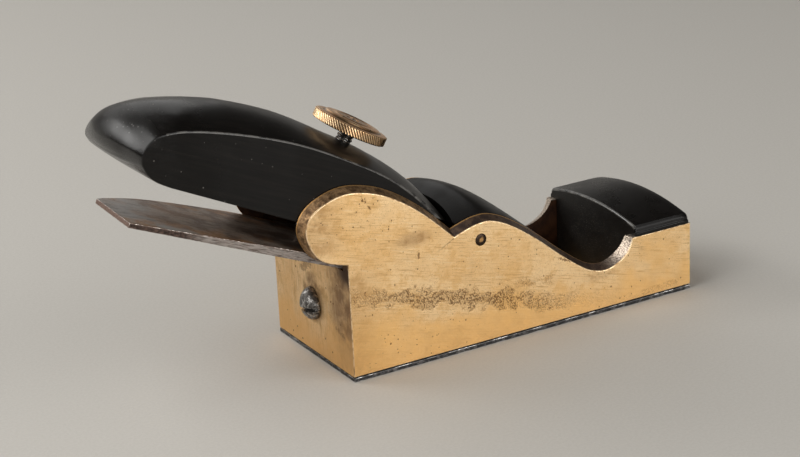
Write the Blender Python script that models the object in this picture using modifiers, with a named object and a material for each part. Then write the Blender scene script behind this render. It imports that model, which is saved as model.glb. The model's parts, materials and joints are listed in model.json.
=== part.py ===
"""A small infill block plane: gunmetal body on a steel sole, ebony infills, lever and thumbscrew.

The origin is the middle of the sole's underside, +X points to the toe and +Z up.  Units are metres.
The iron lies bevel up on a low bed.  The lever passes under the bridge between the cheeks, its nose
holds the iron down, and the thumbscrew near its middle pushes on the iron and so levers the nose.
"""
import math

import bmesh
import bpy
from mathutils import Matrix, Vector

MM = 0.001
GAP = 0.3 * MM                      # clearance between touching pieces

# Body
SOLE_LENGTH = 114.3 * MM
BODY_WIDTH = 44.45 * MM
CHEEK = 3.175 * MM                  # thickness of the cheeks and of the end walls
SOLE_THICK = 1.2 * MM
FLOOR_THICK = 2.0 * MM
RIM_RISE = 1.5 * MM                 # how far the bevelled rim stands up along its inner edge
HEEL_X = -SOLE_LENGTH / 2
TOE_X = SOLE_LENGTH / 2
BODY_BOTTOM = SOLE_THICK + GAP
FLOOR_TOP = BODY_BOTTOM + FLOOR_THICK
CHEEK_INNER = BODY_WIDTH / 2 - CHEEK
FIT_HALF = CHEEK_INNER - GAP        # half width of what fits between the cheeks
TOE_TOP = 20.7 * MM

# Bed and iron
BED_ANGLE = math.radians(22.5)
BED_AT_HEEL = 32.35 * MM            # height of the iron's underside over the heel face
IRON_THICK = 2.5 * MM
IRON_REAR_THICK = 1.7 * MM
IRON_LENGTH = 149.0 * MM
IRON_BEVEL = math.radians(30.0)
IRON_TAPER_FROM = 100.0 * MM        # distance behind the edge where the iron starts to thin
EDGE_HEIGHT = 0.3 * MM              # the edge is drawn back just inside the sole
MOUTH_GAP = 2.0 * MM                # from the edge to the mouth's front

# Lever, bridge and nose
LEVER_SLOPE = math.tan(math.radians(26.0))
LEVER_STEEP = math.radians(50.0)    # how steeply the lever's back dives under the bridge
LEVER_DROP = 2.5 * MM               # how much lower the tail's top is at its left side
BRIDGE_CROWN = 2.0 * MM
NOSE_THICK = 6.5 * MM               # upright thickness of the lever where it lies under the bridge
NOSE_END_X = 13.0 * MM
BRIDGE_FRONT_X = 11.4 * MM
BRIDGE_PIN_AT = (-15.24 * MM, 32.1 * MM)
PIN_DIAMETER = 3.0 * MM

# Thumbscrew
SCREW_AXIS = Vector((0.4895, -0.0780, 0.8685)).normalized()
WHEEL_AT = Vector((-42.9, -1.0, 65.25)) * MM
WHEEL_DIAMETER = 21.4 * MM
WHEEL_THICK = 2.8 * MM              # the knurled band, without the boss that stands on it
WHEEL_BOSS_DIAMETER = 15.8 * MM
WHEEL_BOSS = 0.75 * MM
SHANK_DIAMETER = 4.76 * MM
BUSH_DIAMETER = 9.0 * MM
BUSH_LENGTH = 7.0 * MM
BUSH_SET = 1.0 * MM                 # how deep the bush is let into the lever's underside

# Toe bun
BUN_REAR_X = 37.6 * MM
BUN_SIDE_TOP = 23.4 * MM
BUN_CROWN = 2.8 * MM

# Heel and toe screws, sole rivets
HEEL_SCREW_HEIGHT = 16.2 * MM
HEEL_HEAD_DIAMETER = 9.0 * MM
HEEL_HEAD_DOME = 3.2 * MM
WOOD_SCREW_DIAMETER = 3.6 * MM
TOE_SCREW_HEIGHT = 11.5 * MM
RIVET_DIAMETER = 3.0 * MM
RIVET_HEAD = 5.0 * MM
RIVET_AT_X = (-47.0 * MM, -12.0 * MM, 45.0 * MM)
RIVET_AT_Y = 13.0 * MM

# Outlines of the cheek's outer face, (x, z) in millimetres
EAR_CURVE = [(-57.15, 34.3), (-63.7, 36.6), (-67.2, 40.2), (-69.0, 45.8), (-67.4, 50.1), (-62.7, 53.0),
             (-56.5, 54.3), (-49.2, 53.0), (-41.8, 49.7), (-33.2, 43.6), (-23.7, 34.7)]
HUMP_CURVE = [(-23.7, 34.7), (-19.5, 36.1), (-15.0, 37.2), (-11.6, 36.8), (-5.1, 33.1), (3.0, 27.4),
              (11.8, 20.5), (19.0, 15.4), (23.0, 13.7), (27.1, 13.05), (31.2, 14.3), (34.3, 16.4),
              (35.8, 18.8), (36.4, 20.7)]
# The lever's back end and top, from the lower rear corner to where it goes under the bridge
LEVER_BACK = [(-109.0, 67.7), (-111.4, 71.4), (-111.9, 73.9), (-111.3, 76.4), (-109.2, 78.5),
              (-106.0, 79.7), (-98.2, 79.3), (-83.3, 75.4), (-67.4, 69.5), (-52.7, 61.8), (-40.4, 54.1),
              (-30.5, 45.2), (-22.9, 35.7)]
# How far the back bulges at mid width at each of those points, and each one's share of the drop
LEVER_CROWNS = [1.5, 1.0, 1.8, 3.2, 4.4, 4.9, 5.5, 5.8, 4.9, 3.6, 3.4, 3.8, 2.4]
LEVER_DROPS = [0.25, 0.55, 0.8, 1.0, 1.0, 1.0, 1.0, 0.67, 0.33, 0.0, 0.0, 0.0, 0.0]
# The iron's outline in plan, (along, across) in millimetres from the middle of its edge
IRON_PLAN = [(5.0, -20.0), (-IRON_LENGTH / MM, -20.0), (-147.8, 5.2), (-145.7, 6.9), (-138.7, 11.0),
             (-132.5, 14.0), (-126.5, 15.7), (-120.0, 16.9), (-110.0, 18.0), (-93.0, 19.5), (5.0, 20.0)]

COLOURS = {
    "gunmetal": ((0.62, 0.42, 0.18), 0.38, 1.0),
    "sole_steel": ((0.16, 0.16, 0.17), 0.40, 1.0),
    "steel": ((0.30, 0.29, 0.28), 0.35, 1.0),
    "iron_steel": ((0.22, 0.17, 0.14), 0.50, 1.0),
    "brass": ((0.70, 0.46, 0.18), 0.30, 1.0),
    "ebony": ((0.018, 0.016, 0.015), 0.30, 0.0),
}


def bed_height(x, above=0.0):
    """Height over the sole of the bed plane at x, or of a plane parallel to it."""
    return BED_AT_HEEL - (x - HEEL_X) * math.tan(BED_ANGLE) + above / math.cos(BED_ANGLE)


def bed_crossing(height, above=0.0):
    """The x where bed_height has the given height."""
    return HEEL_X + (BED_AT_HEEL + above / math.cos(BED_ANGLE) - height) / math.tan(BED_ANGLE)


EDGE_X = bed_crossing(EDGE_HEIGHT)
MOUTH_FRONT_X = EDGE_X + MOUTH_GAP


# ---- scene and materials ----

def clear_scene():
    for obj in list(bpy.data.objects):
        bpy.data.objects.remove(obj)


def new_collection(name):
    collection = bpy.data.collections.new(name)
    bpy.context.scene.collection.children.link(collection)
    return collection


clear_scene()
PARTS = new_collection("block_plane")
CUTTERS = new_collection("cutters")


def set_material(obj, kind):
    """Give the object a Principled material of its own."""
    colour, roughness, metallic = COLOURS[kind]
    material = bpy.data.materials.new(obj.name + "_" + kind)
    material.use_nodes = True
    shader = material.node_tree.nodes["Principled BSDF"]
    shader.inputs["Base Color"].default_value = (*colour, 1.0)
    shader.inputs["Roughness"].default_value = roughness
    shader.inputs["Metallic"].default_value = metallic
    obj.data.materials.clear()
    obj.data.materials.append(material)


# ---- geometry helpers ----

def object_from(name, bm, collection=None):
    """Link the bmesh as an object, with its faces pointing out."""
    bmesh.ops.recalc_face_normals(bm, faces=bm.faces)
    mesh = bpy.data.meshes.new(name)
    bm.to_mesh(mesh)
    bm.free()
    obj = bpy.data.objects.new(name, mesh)
    (collection or PARTS).objects.link(obj)
    return obj


def spline(points, per_span=3):
    """A Catmull-Rom curve through the points (in millimetres), as (x, z) pairs in metres."""
    padded = [points[0], *points, points[-1]]
    curve = []
    for index in range(1, len(padded) - 2):
        a, b, c, d = (Vector(p) for p in padded[index - 1:index + 3])
        for step in range(per_span):
            t = step / per_span
            position = 0.5 * (2 * b + (c - a) * t + (2 * a - 5 * b + 4 * c - d) * t ** 2
                              + (3 * b - a - 3 * c + d) * t ** 3)
            curve.append((position.x * MM, position.y * MM))
    curve.append((points[-1][0] * MM, points[-1][1] * MM))
    return curve


def offset_outward(curve, amounts):
    """Move an open (x, z) curve that runs toward +X up and out along its normals."""
    moved = []
    for index, (x, z) in enumerate(curve):
        before = Vector(curve[max(index - 1, 0)])
        after = Vector(curve[min(index + 1, len(curve) - 1)])
        along = (after - before).normalized()
        moved.append((x - along.y * amounts[index], z + along.x * amounts[index]))
    return moved


def loft(name, sections, collection=None):
    """Skin equal closed loops of points, one after the other, and cap both ends."""
    bm = bmesh.new()
    loops = [[bm.verts.new(point) for point in section] for section in sections]
    count = len(loops[0])
    for first, second in zip(loops, loops[1:]):
        for index in range(count):
            following = (index + 1) % count
            bm.faces.new((first[index], first[following], second[following], second[index]))
    bm.faces.new(loops[0])
    bm.faces.new(loops[-1])
    return object_from(name, bm, collection)


def prism(name, outline, low, high, axis="Y", collection=None):
    """Extrude an outline along Y, given as (x, z) pairs, or along X, given as (y, z) pairs."""
    def place(pair, depth):
        return (pair[0], depth, pair[1]) if axis == "Y" else (depth, pair[0], pair[1])
    return loft(name, [[place(pair, depth) for pair in outline] for depth in (low, high)], collection)


def rod(name, diameter, start, end, segments=24, collection=None):
    """A cylinder between two points."""
    start = Vector(start)
    end = Vector(end)
    bm = bmesh.new()
    bmesh.ops.create_cone(bm, cap_ends=True, segments=segments, radius1=diameter / 2, radius2=diameter / 2,
                          depth=(end - start).length)
    turn = Vector((0, 0, 1)).rotation_difference(end - start).to_matrix().to_4x4()
    bmesh.ops.transform(bm, matrix=Matrix.Translation((start + end) / 2) @ turn, verts=bm.verts)
    return object_from(name, bm, collection)


def turned(name, profile, location, direction, steps=32, closed=False, collection=None):
    """A solid of revolution: (radius, height) pairs run down the outer side, top to bottom."""
    mesh = bpy.data.meshes.new(name)
    edges = [(index, index + 1) for index in range(len(profile) - 1)]
    if closed:
        edges.append((len(profile) - 1, 0))
    mesh.from_pydata([(radius, 0.0, height) for radius, height in profile], edges, [])
    obj = bpy.data.objects.new(name, mesh)
    (collection or PARTS).objects.link(obj)
    screw = obj.modifiers.new("turn", "SCREW")
    screw.steps = steps
    screw.render_steps = steps
    screw.use_merge_vertices = True
    screw.merge_threshold = 0.00001
    obj.rotation_euler = Vector((0, 0, 1)).rotation_difference(Vector(direction)).to_euler()
    obj.location = location
    return obj


def boolean(obj, tool, operation):
    modifier = obj.modifiers.new(tool.name, "BOOLEAN")
    modifier.operation = operation
    modifier.solver = "EXACT"
    modifier.object = tool
    tool.hide_render = True
    tool.display_type = "WIRE"


def set_origin(obj, point):
    """Move the object's origin to a point in the world without moving its shape."""
    obj.data.transform(Matrix.Translation(-Vector(point)))
    obj.location = point


def shade(obj, angle=35.0):
    obj.data.shade_smooth()
    obj.data.set_sharp_from_angle(angle=math.radians(angle))


# ---- cheek outline ----

def rim_curves(rise):
    """The ear's and the hump's curves, pushed out by the rise, which fades out toward the ends."""
    ear = spline(EAR_CURVE)
    hump = spline(HUMP_CURVE)
    joined = ear + hump[1:]
    amounts = []
    for index in range(len(joined)):
        fade = min(index / 9.0, 1.0)
        tail = min((len(joined) - 1 - index) / 6.0, 1.0)
        amounts.append(rise * fade * (0.4 + 0.6 * tail))
    moved = offset_outward(joined, amounts)
    return moved[:len(ear)], moved[len(ear) - 1:]


def cheek_outline(rise):
    """The closed outline of a cheek, with its rim pushed out by the rise."""
    ear, hump = rim_curves(rise)
    corner = (hump[-1][0], TOE_TOP)
    return [(HEEL_X, BODY_BOTTOM), *ear, *hump[1:-1], corner, (TOE_X, TOE_TOP), (TOE_X, BODY_BOTTOM)]


# ---- pieces ----

def make_cheek(name, side):
    """One cheek: its inner face's rim stands higher than the outer one's, so the rim is bevelled."""
    outer = [(x, side * BODY_WIDTH / 2, z) for x, z in cheek_outline(0.0)]
    inner = [(x, side * CHEEK_INNER, z) for x, z in cheek_outline(RIM_RISE)]
    return loft(name, [outer, inner], PARTS if side > 0 else CUTTERS)


def make_body():
    """The gunmetal casting: two cheeks, heel and toe walls, and a floor cut by the mouth."""
    body = make_cheek("body_casting", 1)
    boolean(body, make_cheek("near_cheek", -1), "UNION")
    reach = CHEEK_INNER + CHEEK / 2
    wall_x = HEEL_X + CHEEK
    rear = [(HEEL_X, BODY_BOTTOM), (bed_crossing(BODY_BOTTOM, -GAP), BODY_BOTTOM),
            (bed_crossing(FLOOR_TOP, -GAP), FLOOR_TOP), (wall_x, FLOOR_TOP),
            (wall_x, bed_height(wall_x, -GAP)), (HEEL_X, bed_height(HEEL_X, -GAP))]
    front = [(MOUTH_FRONT_X, BODY_BOTTOM), (TOE_X, BODY_BOTTOM), (TOE_X, TOE_TOP),
             (TOE_X - CHEEK, TOE_TOP), (TOE_X - CHEEK, FLOOR_TOP), (MOUTH_FRONT_X + FLOOR_THICK, FLOOR_TOP)]
    boolean(body, prism("rear_tray", rear, -reach, reach, collection=CUTTERS), "UNION")
    boolean(body, prism("front_tray", front, -reach, reach, collection=CUTTERS), "UNION")
    for tool in (pin_hole(), heel_screw_hole(), toe_screw_hole()):
        boolean(body, tool, "DIFFERENCE")
    for tool in rivet_holes():
        boolean(body, tool, "DIFFERENCE")
    set_material(body, "gunmetal")
    return body


def make_sole():
    """The steel plate under the casting, with the mouth slot in it."""
    sole = prism("sole_plate", [(HEEL_X, 0.0), (TOE_X, 0.0), (TOE_X, SOLE_THICK), (HEEL_X, SOLE_THICK)],
                 -BODY_WIDTH / 2, BODY_WIDTH / 2)
    low = -1.0 * MM
    high = SOLE_THICK + 1.0 * MM
    rear = bed_crossing(0.0, -GAP)
    mouth = [(rear, low), (MOUTH_FRONT_X, low), (MOUTH_FRONT_X, high), (bed_crossing(high, -GAP), high),
             (rear, 0.0)]
    boolean(sole, prism("mouth_slot", mouth, -CHEEK_INNER, CHEEK_INNER, collection=CUTTERS), "DIFFERENCE")
    for tool in rivet_holes():
        boolean(sole, tool, "DIFFERENCE")
    set_material(sole, "sole_steel")
    return sole


def rivet_places():
    return [(x, side * RIVET_AT_Y) for x in RIVET_AT_X for side in (-1, 1)]


def rivet_profile(extra):
    """A countersunk rivet standing on its head, grown by the extra clearance."""
    shank = RIVET_DIAMETER / 2 + extra
    head = RIVET_HEAD / 2 + extra
    bottom = 0.05 * MM if extra == 0.0 else -1.0 * MM
    top = FLOOR_TOP - 0.05 * MM if extra == 0.0 else FLOOR_TOP + 1.0 * MM
    return [(0.0, top), (shank, top), (shank, 1.1 * MM), (head, 0.4 * MM), (head, bottom), (0.0, bottom)]


def rivet_holes():
    """Cutters for the rivet holes, made once and shared by the sole and the casting."""
    names = ["rivet_hole_%d" % (index + 1) for index in range(len(rivet_places()))]
    if names[0] in CUTTERS.objects:
        return [CUTTERS.objects[name] for name in names]
    return [turned(name, rivet_profile(GAP), (x, y, 0.0), (0, 0, 1), 16, collection=CUTTERS)
            for name, (x, y) in zip(names, rivet_places())]


def make_rivets():
    for index, (x, y) in enumerate(rivet_places()):
        rivet = turned("sole_rivet_%d" % (index + 1), rivet_profile(0.0), (x, y, 0.0), (0, 0, 1), 16)
        set_material(rivet, "sole_steel")


def pin_hole():
    """The cutter for the pin's hole through both cheeks and the bridge."""
    x, z = BRIDGE_PIN_AT
    if "pin_hole" in CUTTERS.objects:
        return CUTTERS.objects["pin_hole"]
    reach = BODY_WIDTH / 2 + 1.0 * MM
    return rod("pin_hole", PIN_DIAMETER + 2 * GAP, (x, -reach, z), (x, reach, z), collection=CUTTERS)


def make_bridge_pin():
    x, z = BRIDGE_PIN_AT
    reach = BODY_WIDTH / 2
    pin = rod("bridge_pin", PIN_DIAMETER, (x, -reach, z), (x, reach, z))
    set_material(pin, "brass")
    shade(pin)


def heel_screw_hole():
    if "heel_screw_hole" in CUTTERS.objects:
        return CUTTERS.objects["heel_screw_hole"]
    start = (HEEL_X - 1.0 * MM, 0.0, HEEL_SCREW_HEIGHT)
    end = (HEEL_X + 21.0 * MM, 0.0, HEEL_SCREW_HEIGHT)
    return rod("heel_screw_hole", WOOD_SCREW_DIAMETER + 2 * GAP, start, end, 16, collection=CUTTERS)


def make_heel_screw():
    """A round-headed wood screw through the heel wall into the bed infill."""
    shank = WOOD_SCREW_DIAMETER / 2
    head = HEEL_HEAD_DIAMETER / 2
    dome = [(head * math.sin(angle), HEEL_HEAD_DOME * math.cos(angle) + 0.3 * MM)
            for angle in (math.radians(15.0 * step) for step in range(7))]
    profile = [*dome, (head, GAP), (shank, GAP), (shank, -19.0 * MM), (0.0, -20.5 * MM)]
    screw = turned("heel_screw", profile, (HEEL_X, 0.0, HEEL_SCREW_HEIGHT), (-1, 0, 0), 24)
    slot_top = HEEL_X - HEEL_HEAD_DOME - 1.0 * MM
    slot_floor = HEEL_X - HEEL_HEAD_DOME + 1.1 * MM
    half = 0.45 * MM
    slot = [(slot_top, HEEL_SCREW_HEIGHT - half), (slot_floor, HEEL_SCREW_HEIGHT - half),
            (slot_floor, HEEL_SCREW_HEIGHT + half), (slot_top, HEEL_SCREW_HEIGHT + half)]
    boolean(screw, prism("heel_screw_slot", slot, -head, head, collection=CUTTERS), "DIFFERENCE")
    set_material(screw, "steel")


def toe_screw_profile(extra):
    """A countersunk wood screw, grown by the extra clearance, with its head flush with the wall."""
    shank = WOOD_SCREW_DIAMETER / 2 + extra
    head = 3.4 * MM + extra
    top = 0.0 if extra == 0.0 else 1.0 * MM
    end = -15.0 * MM - 2 * extra
    return [(0.0, top), (head, top), (head, -0.3 * MM), (shank, -2.2 * MM), (shank, end), (0.0, end)]


def toe_screw_hole():
    if "toe_screw_hole" in CUTTERS.objects:
        return CUTTERS.objects["toe_screw_hole"]
    return turned("toe_screw_hole", toe_screw_profile(GAP), (TOE_X, 0.0, TOE_SCREW_HEIGHT), (1, 0, 0), 24,
                  collection=CUTTERS)


def make_toe_screw():
    screw = turned("toe_screw", toe_screw_profile(0.0), (TOE_X, 0.0, TOE_SCREW_HEIGHT), (1, 0, 0), 24)
    set_material(screw, "steel")


def make_bed_infill():
    """The ebony ramp under the iron, behind the mouth."""
    start = HEEL_X + CHEEK + GAP
    bottom = FLOOR_TOP + GAP
    front = bed_crossing(bottom + 1.5 * MM, -GAP)
    outline = [(start, bottom), (front, bottom), (front, bed_height(front, -GAP)),
               (start, bed_height(start, -GAP))]
    infill = prism("bed_infill", outline, -FIT_HALF, FIT_HALF)
    boolean(infill, heel_screw_hole(), "DIFFERENCE")
    set_material(infill, "ebony")


def make_iron():
    """The tapered iron, bevel up, with one rear corner rounded off; it slides along the bed."""
    back = -IRON_LENGTH - 1.0 * MM
    bevel_back = -IRON_THICK / math.tan(IRON_BEVEL)
    side = [(0.0, 0.0), (bevel_back, IRON_THICK), (-IRON_TAPER_FROM, IRON_THICK), (back, IRON_REAR_THICK),
            (back, 0.0)]
    iron = prism("iron", side, -FIT_HALF, FIT_HALF)
    levels = (-3.0 * MM, IRON_THICK + 3.0 * MM)
    plan = loft("iron_plan", [[(x * MM, y * MM, z) for x, y in IRON_PLAN] for z in levels], CUTTERS)
    for obj in (iron, plan):
        obj.rotation_euler = (0.0, BED_ANGLE, 0.0)
        obj.location = (EDGE_X, 0.0, EDGE_HEIGHT)
    boolean(iron, plan, "INTERSECT")
    set_material(iron, "iron_steel")


def nose_top(x, extra=0.0):
    """Height of the lever's nose top, parallel to the bed, or of a plane above it."""
    return bed_height(x, IRON_THICK + GAP) + NOSE_THICK + extra / math.cos(BED_ANGLE)


def knee(start, slope, extra=0.0):
    """Where the steep line down from the start meets the nose's top plane."""
    bed_slope = math.tan(BED_ANGLE)
    height = start[1] - slope * (0.0 - start[0])
    x = (height - nose_top(0.0, extra)) / (slope - bed_slope)
    return x, nose_top(x, extra)


def lever_underside(x):
    """Height of the lever's straight underside at x."""
    return LEVER_BACK[0][1] * MM - (x - LEVER_BACK[0][0] * MM) * LEVER_SLOPE


def spread(values, per_span):
    """Values given at a spline's points, interpolated for all the points that spline() makes."""
    spans = zip(values, values[1:])
    return [a + (b - a) * step / per_span for a, b in spans for step in range(per_span)] + [values[-1]]


def arched(name, outline, moves, half_width, drops=None, rows=12):
    """Loft an (x, z) outline along Y: points move in an arch toward mid width, and drop toward +Y."""
    drops = drops or [0.0] * len(outline)
    sections = []
    for row in range(rows + 1):
        across = -1.0 + 2.0 * row / rows
        arch = 1.0 - across ** 2
        section = []
        for (x, z), (move_x, move_z), drop in zip(outline, moves, drops):
            height = z + arch * move_z - drop * (1.0 + across) / 2
            section.append((x + arch * move_x, across * half_width, height))
        sections.append(section)
    return loft(name, sections)


def lever_back():
    """The lever's back at its sides, and how far each of its points moves out at mid width."""
    back = spline(LEVER_BACK, 2)
    crowns = [crown * MM for crown in spread(LEVER_CROWNS, 2)]
    moved = offset_outward(back, crowns)
    return back, [(x - side_x, z - side_z) for (x, z), (side_x, side_z) in zip(moved, back)]


def dive(start, bend, move, steps=4):
    """Points from the start down to the bend, without the two ends, and their fading moves."""
    shares = [step / steps for step in range(1, steps)]
    points = [(start[0] + (bend[0] - start[0]) * share, start[1] + (bend[1] - start[1]) * share)
              for share in shares]
    return points, [(move[0] * (1.0 - share) ** 2, move[1] * (1.0 - share) ** 2) for share in shares]


def make_lever():
    """The ebony lever: straight below, crowned on top, with a nose that lies on the iron."""
    back, moves = lever_back()
    bend = knee(back[-1], math.tan(LEVER_STEEP))
    steep, steep_moves = dive(back[-1], bend, moves[-1])
    pad_start = 4.0 * MM
    underside_end = -28.0 * MM
    pad_gap = IRON_THICK + GAP
    nose = [bend, (NOSE_END_X - 1.5 * MM, nose_top(NOSE_END_X - 1.5 * MM)),
            (NOSE_END_X, nose_top(NOSE_END_X) - 2.0 * MM), (NOSE_END_X, bed_height(NOSE_END_X, pad_gap)),
            (pad_start, bed_height(pad_start, pad_gap)), (underside_end, lever_underside(underside_end))]
    drops = [share * LEVER_DROP for share in spread(LEVER_DROPS, 2)]
    outline = back + steep + nose
    lever = arched("lever_cap", outline, moves + steep_moves + [(0.0, 0.0)] * 6, FIT_HALF,
                   drops + [0.0] * (len(outline) - len(back)))
    foot = screw_point(bush_bottom())
    boolean(lever, rod("lever_bore", SHANK_DIAMETER + 2 * GAP, screw_point(-5.0 * MM),
                       screw_point(40.0 * MM), collection=CUTTERS), "DIFFERENCE")
    boolean(lever, rod("bush_pocket", BUSH_DIAMETER + 2 * GAP, foot - SCREW_AXIS * 5.0 * MM,
                       foot + SCREW_AXIS * (BUSH_SET + BUSH_LENGTH), collection=CUTTERS), "DIFFERENCE")
    set_origin(lever, (NOSE_END_X, 0.0, bed_height(NOSE_END_X, pad_gap)))
    set_material(lever, "ebony")


def screw_point(distance):
    """A point on the thumbscrew's axis, measured up from its foot on the iron."""
    return WHEEL_AT + SCREW_AXIS * (distance - screw_length())


def screw_length():
    """Distance along the screw's axis from the iron's top up to the wheel's middle."""
    height = WHEEL_AT.z - bed_height(WHEEL_AT.x, IRON_THICK)
    return height / (SCREW_AXIS.z + SCREW_AXIS.x * math.tan(BED_ANGLE))


def bush_bottom():
    """Distance along the screw's axis from its foot to the lever's underside."""
    height = WHEEL_AT.z - lever_underside(WHEEL_AT.x)
    return screw_length() - height / (SCREW_AXIS.z + SCREW_AXIS.x * LEVER_SLOPE)


def make_bush():
    """The threaded insert let into the lever's underside, in which the thumbscrew runs."""
    inner = SHANK_DIAMETER / 2 + GAP
    outer = BUSH_DIAMETER / 2
    profile = [(outer, BUSH_LENGTH), (outer, 0.0), (inner, 0.0), (inner, BUSH_LENGTH)]
    foot = screw_point(bush_bottom() + BUSH_SET - GAP)
    bush = turned("lever_screw_bush", profile, foot, SCREW_AXIS, 24, True)
    set_material(bush, "brass")


def make_thumbscrew():
    """A steel shank with a domed foot, and the brass wheel riveted over its upper end."""
    axis = bpy.data.objects.new("thumbscrew_axis", None)
    PARTS.objects.link(axis)
    axis.location = screw_point(0.0)
    axis.rotation_euler = Vector((0, 0, 1)).rotation_difference(SCREW_AXIS).to_euler()
    radius = SHANK_DIAMETER / 2
    middle = screw_length()
    under = middle - WHEEL_THICK / 2
    top = middle + WHEEL_THICK / 2
    neck = 1.6 * MM
    boss_top = top + WHEEL_BOSS
    shank = [(0.0, boss_top), (neck, boss_top), (neck, under - GAP), (radius, under - GAP),
             (radius, 1.9 * MM), (1.2 * MM, 0.6 * MM), (0.0, 0.4 * MM)]
    rim = WHEEL_DIAMETER / 2
    bore = neck + GAP
    boss = WHEEL_BOSS_DIAMETER / 2
    wheel = [(bore, boss_top), (boss * 0.6, boss_top), (boss * 0.66, boss_top + 0.15 * MM),
             (boss * 0.72, boss_top), (boss, boss_top - 0.1 * MM), (boss + 0.4 * MM, top + 0.1 * MM),
             (rim - 0.3 * MM, top), (rim, top - 0.3 * MM), (rim, under + 0.6 * MM),
             (rim - 0.8 * MM, under), (bore, under)]
    for name, profile, closed, kind, steps in (("thumbscrew_shank", shank, False, "steel", 24),
                                               ("thumbscrew_wheel", wheel, True, "brass", 48)):
        piece = turned(name, profile, (0, 0, 0), (0, 0, 1), steps, closed)
        piece.parent = axis
        set_material(piece, kind)


def make_bridge():
    """The ebony bridge over the lever's nose; its back follows the lever's crown."""
    hump = [point for point in rim_curves(RIM_RISE)[1] if point[0] < BRIDGE_FRONT_X]
    back, moves = lever_back()
    start = (back[-1][0], back[-1][1] + GAP / math.cos(LEVER_STEEP))
    bend = knee(start, math.tan(LEVER_STEEP), GAP)
    lift = start[0] + 0.9 * MM
    tip = (lift, start[1] - (lift - start[0]) * math.tan(LEVER_STEEP))
    top = [(x, z) for x, z in hump if x > lift]
    front = [(BRIDGE_FRONT_X, top[-1][1] - 1.5 * MM),
             (BRIDGE_FRONT_X - 1.5 * MM, nose_top(BRIDGE_FRONT_X - 1.5 * MM, GAP))]
    top_moves = []
    for index in range(len(top)):
        crown = BRIDGE_CROWN * math.sin(math.pi * min(0.08 + index / (len(top) - 1) * 0.92, 1.0)) ** 0.6
        blend = max(1.0 - index / 7.0, 0.0)
        top_moves.append((moves[-1][0] * blend, moves[-1][1] * blend + crown * (1.0 - blend)))
    steep, steep_moves = dive(tip, bend, moves[-1])
    bridge = arched("bridge", top + front + [bend] + steep[::-1] + [tip],
                    top_moves + [(0.0, 0.0)] * 3 + steep_moves[::-1] + [moves[-1]], FIT_HALF)
    boolean(bridge, pin_hole(), "DIFFERENCE")
    set_material(bridge, "ebony")


def make_toe_bun():
    """The front infill: a stem between the cheeks and a crowned cap that covers the toe."""
    half = BODY_WIDTH / 2 - 0.05 * MM
    base = TOE_TOP + GAP
    steps = 8
    shares = [1.0 - 2.0 * step / steps for step in range(steps + 1)]
    arch = [(half * share, BUN_SIDE_TOP + BUN_CROWN * (1.0 - share ** 2)) for share in shares]
    cap = prism("toe_bun", [(-half, base), (half, base), *arch], BUN_REAR_X, TOE_X - 0.05 * MM, "X")
    stem_end = TOE_X - CHEEK - GAP
    stem = [(BUN_REAR_X, FLOOR_TOP + GAP), (stem_end, FLOOR_TOP + GAP), (stem_end, base + 1.0 * MM),
            (BUN_REAR_X, base + 1.0 * MM)]
    boolean(cap, prism("bun_stem", stem, -FIT_HALF, FIT_HALF, collection=CUTTERS), "UNION")
    boolean(cap, toe_screw_hole(), "DIFFERENCE")
    set_material(cap, "ebony")


make_body()
make_sole()
make_rivets()
make_bed_infill()
make_heel_screw()
make_iron()
make_lever()
make_bush()
make_thumbscrew()
make_bridge()
make_bridge_pin()
make_toe_bun()
make_toe_screw()
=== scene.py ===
"""The looks of the small infill block plane: refined meshes and procedural materials round the frame.

Everything is in metres in the row frame: the sole's underside is z = 0, +X points to the toe.
Outlines are given in millimetres, as (x, z) pairs unless they say otherwise.
"""

import functools
import json
import math

import bmesh
import bpy
from mathutils import Matrix, Vector


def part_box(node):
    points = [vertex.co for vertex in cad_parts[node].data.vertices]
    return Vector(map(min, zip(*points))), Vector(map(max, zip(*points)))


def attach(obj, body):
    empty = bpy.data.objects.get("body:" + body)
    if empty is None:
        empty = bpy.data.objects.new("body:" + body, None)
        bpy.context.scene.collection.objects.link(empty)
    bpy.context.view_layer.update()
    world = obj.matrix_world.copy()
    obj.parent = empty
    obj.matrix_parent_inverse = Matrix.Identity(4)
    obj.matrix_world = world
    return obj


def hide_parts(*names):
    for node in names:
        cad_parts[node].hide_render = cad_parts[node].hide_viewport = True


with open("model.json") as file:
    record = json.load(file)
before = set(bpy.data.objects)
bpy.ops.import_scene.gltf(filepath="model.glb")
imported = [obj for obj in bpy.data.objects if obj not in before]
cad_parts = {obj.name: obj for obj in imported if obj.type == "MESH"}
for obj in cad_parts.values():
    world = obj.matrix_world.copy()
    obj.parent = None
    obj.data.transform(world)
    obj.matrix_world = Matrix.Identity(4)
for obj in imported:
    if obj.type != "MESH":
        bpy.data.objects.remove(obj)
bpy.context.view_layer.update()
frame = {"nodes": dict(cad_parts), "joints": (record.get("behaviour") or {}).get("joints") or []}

MM = 0.001

# ---- driving values, from the frame where it has them ----

def middle_and_half(node):
    """The middle of a node's box, and half its size."""
    low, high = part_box(node)
    return (low + high) / 2, (high - low) / 2


SOLE_LOW, SOLE_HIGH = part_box("sole_plate")
BODY_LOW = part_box("body_casting")[0]
IRON_LOW, IRON_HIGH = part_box("iron")
LEVER_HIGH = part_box("lever_cap")[1]
BRIDGE_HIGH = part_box("bridge")[1]
BUN_LOW, BUN_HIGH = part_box("toe_bun")
PIN, PIN_HALF = middle_and_half("bridge_pin")
HEEL_SCREW = middle_and_half("heel_screw")[0]
TOE_SCREW, TOE_SCREW_HALF = middle_and_half("toe_screw")
JOINTS = {joint["name"]: joint for joint in frame["joints"]}

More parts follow.
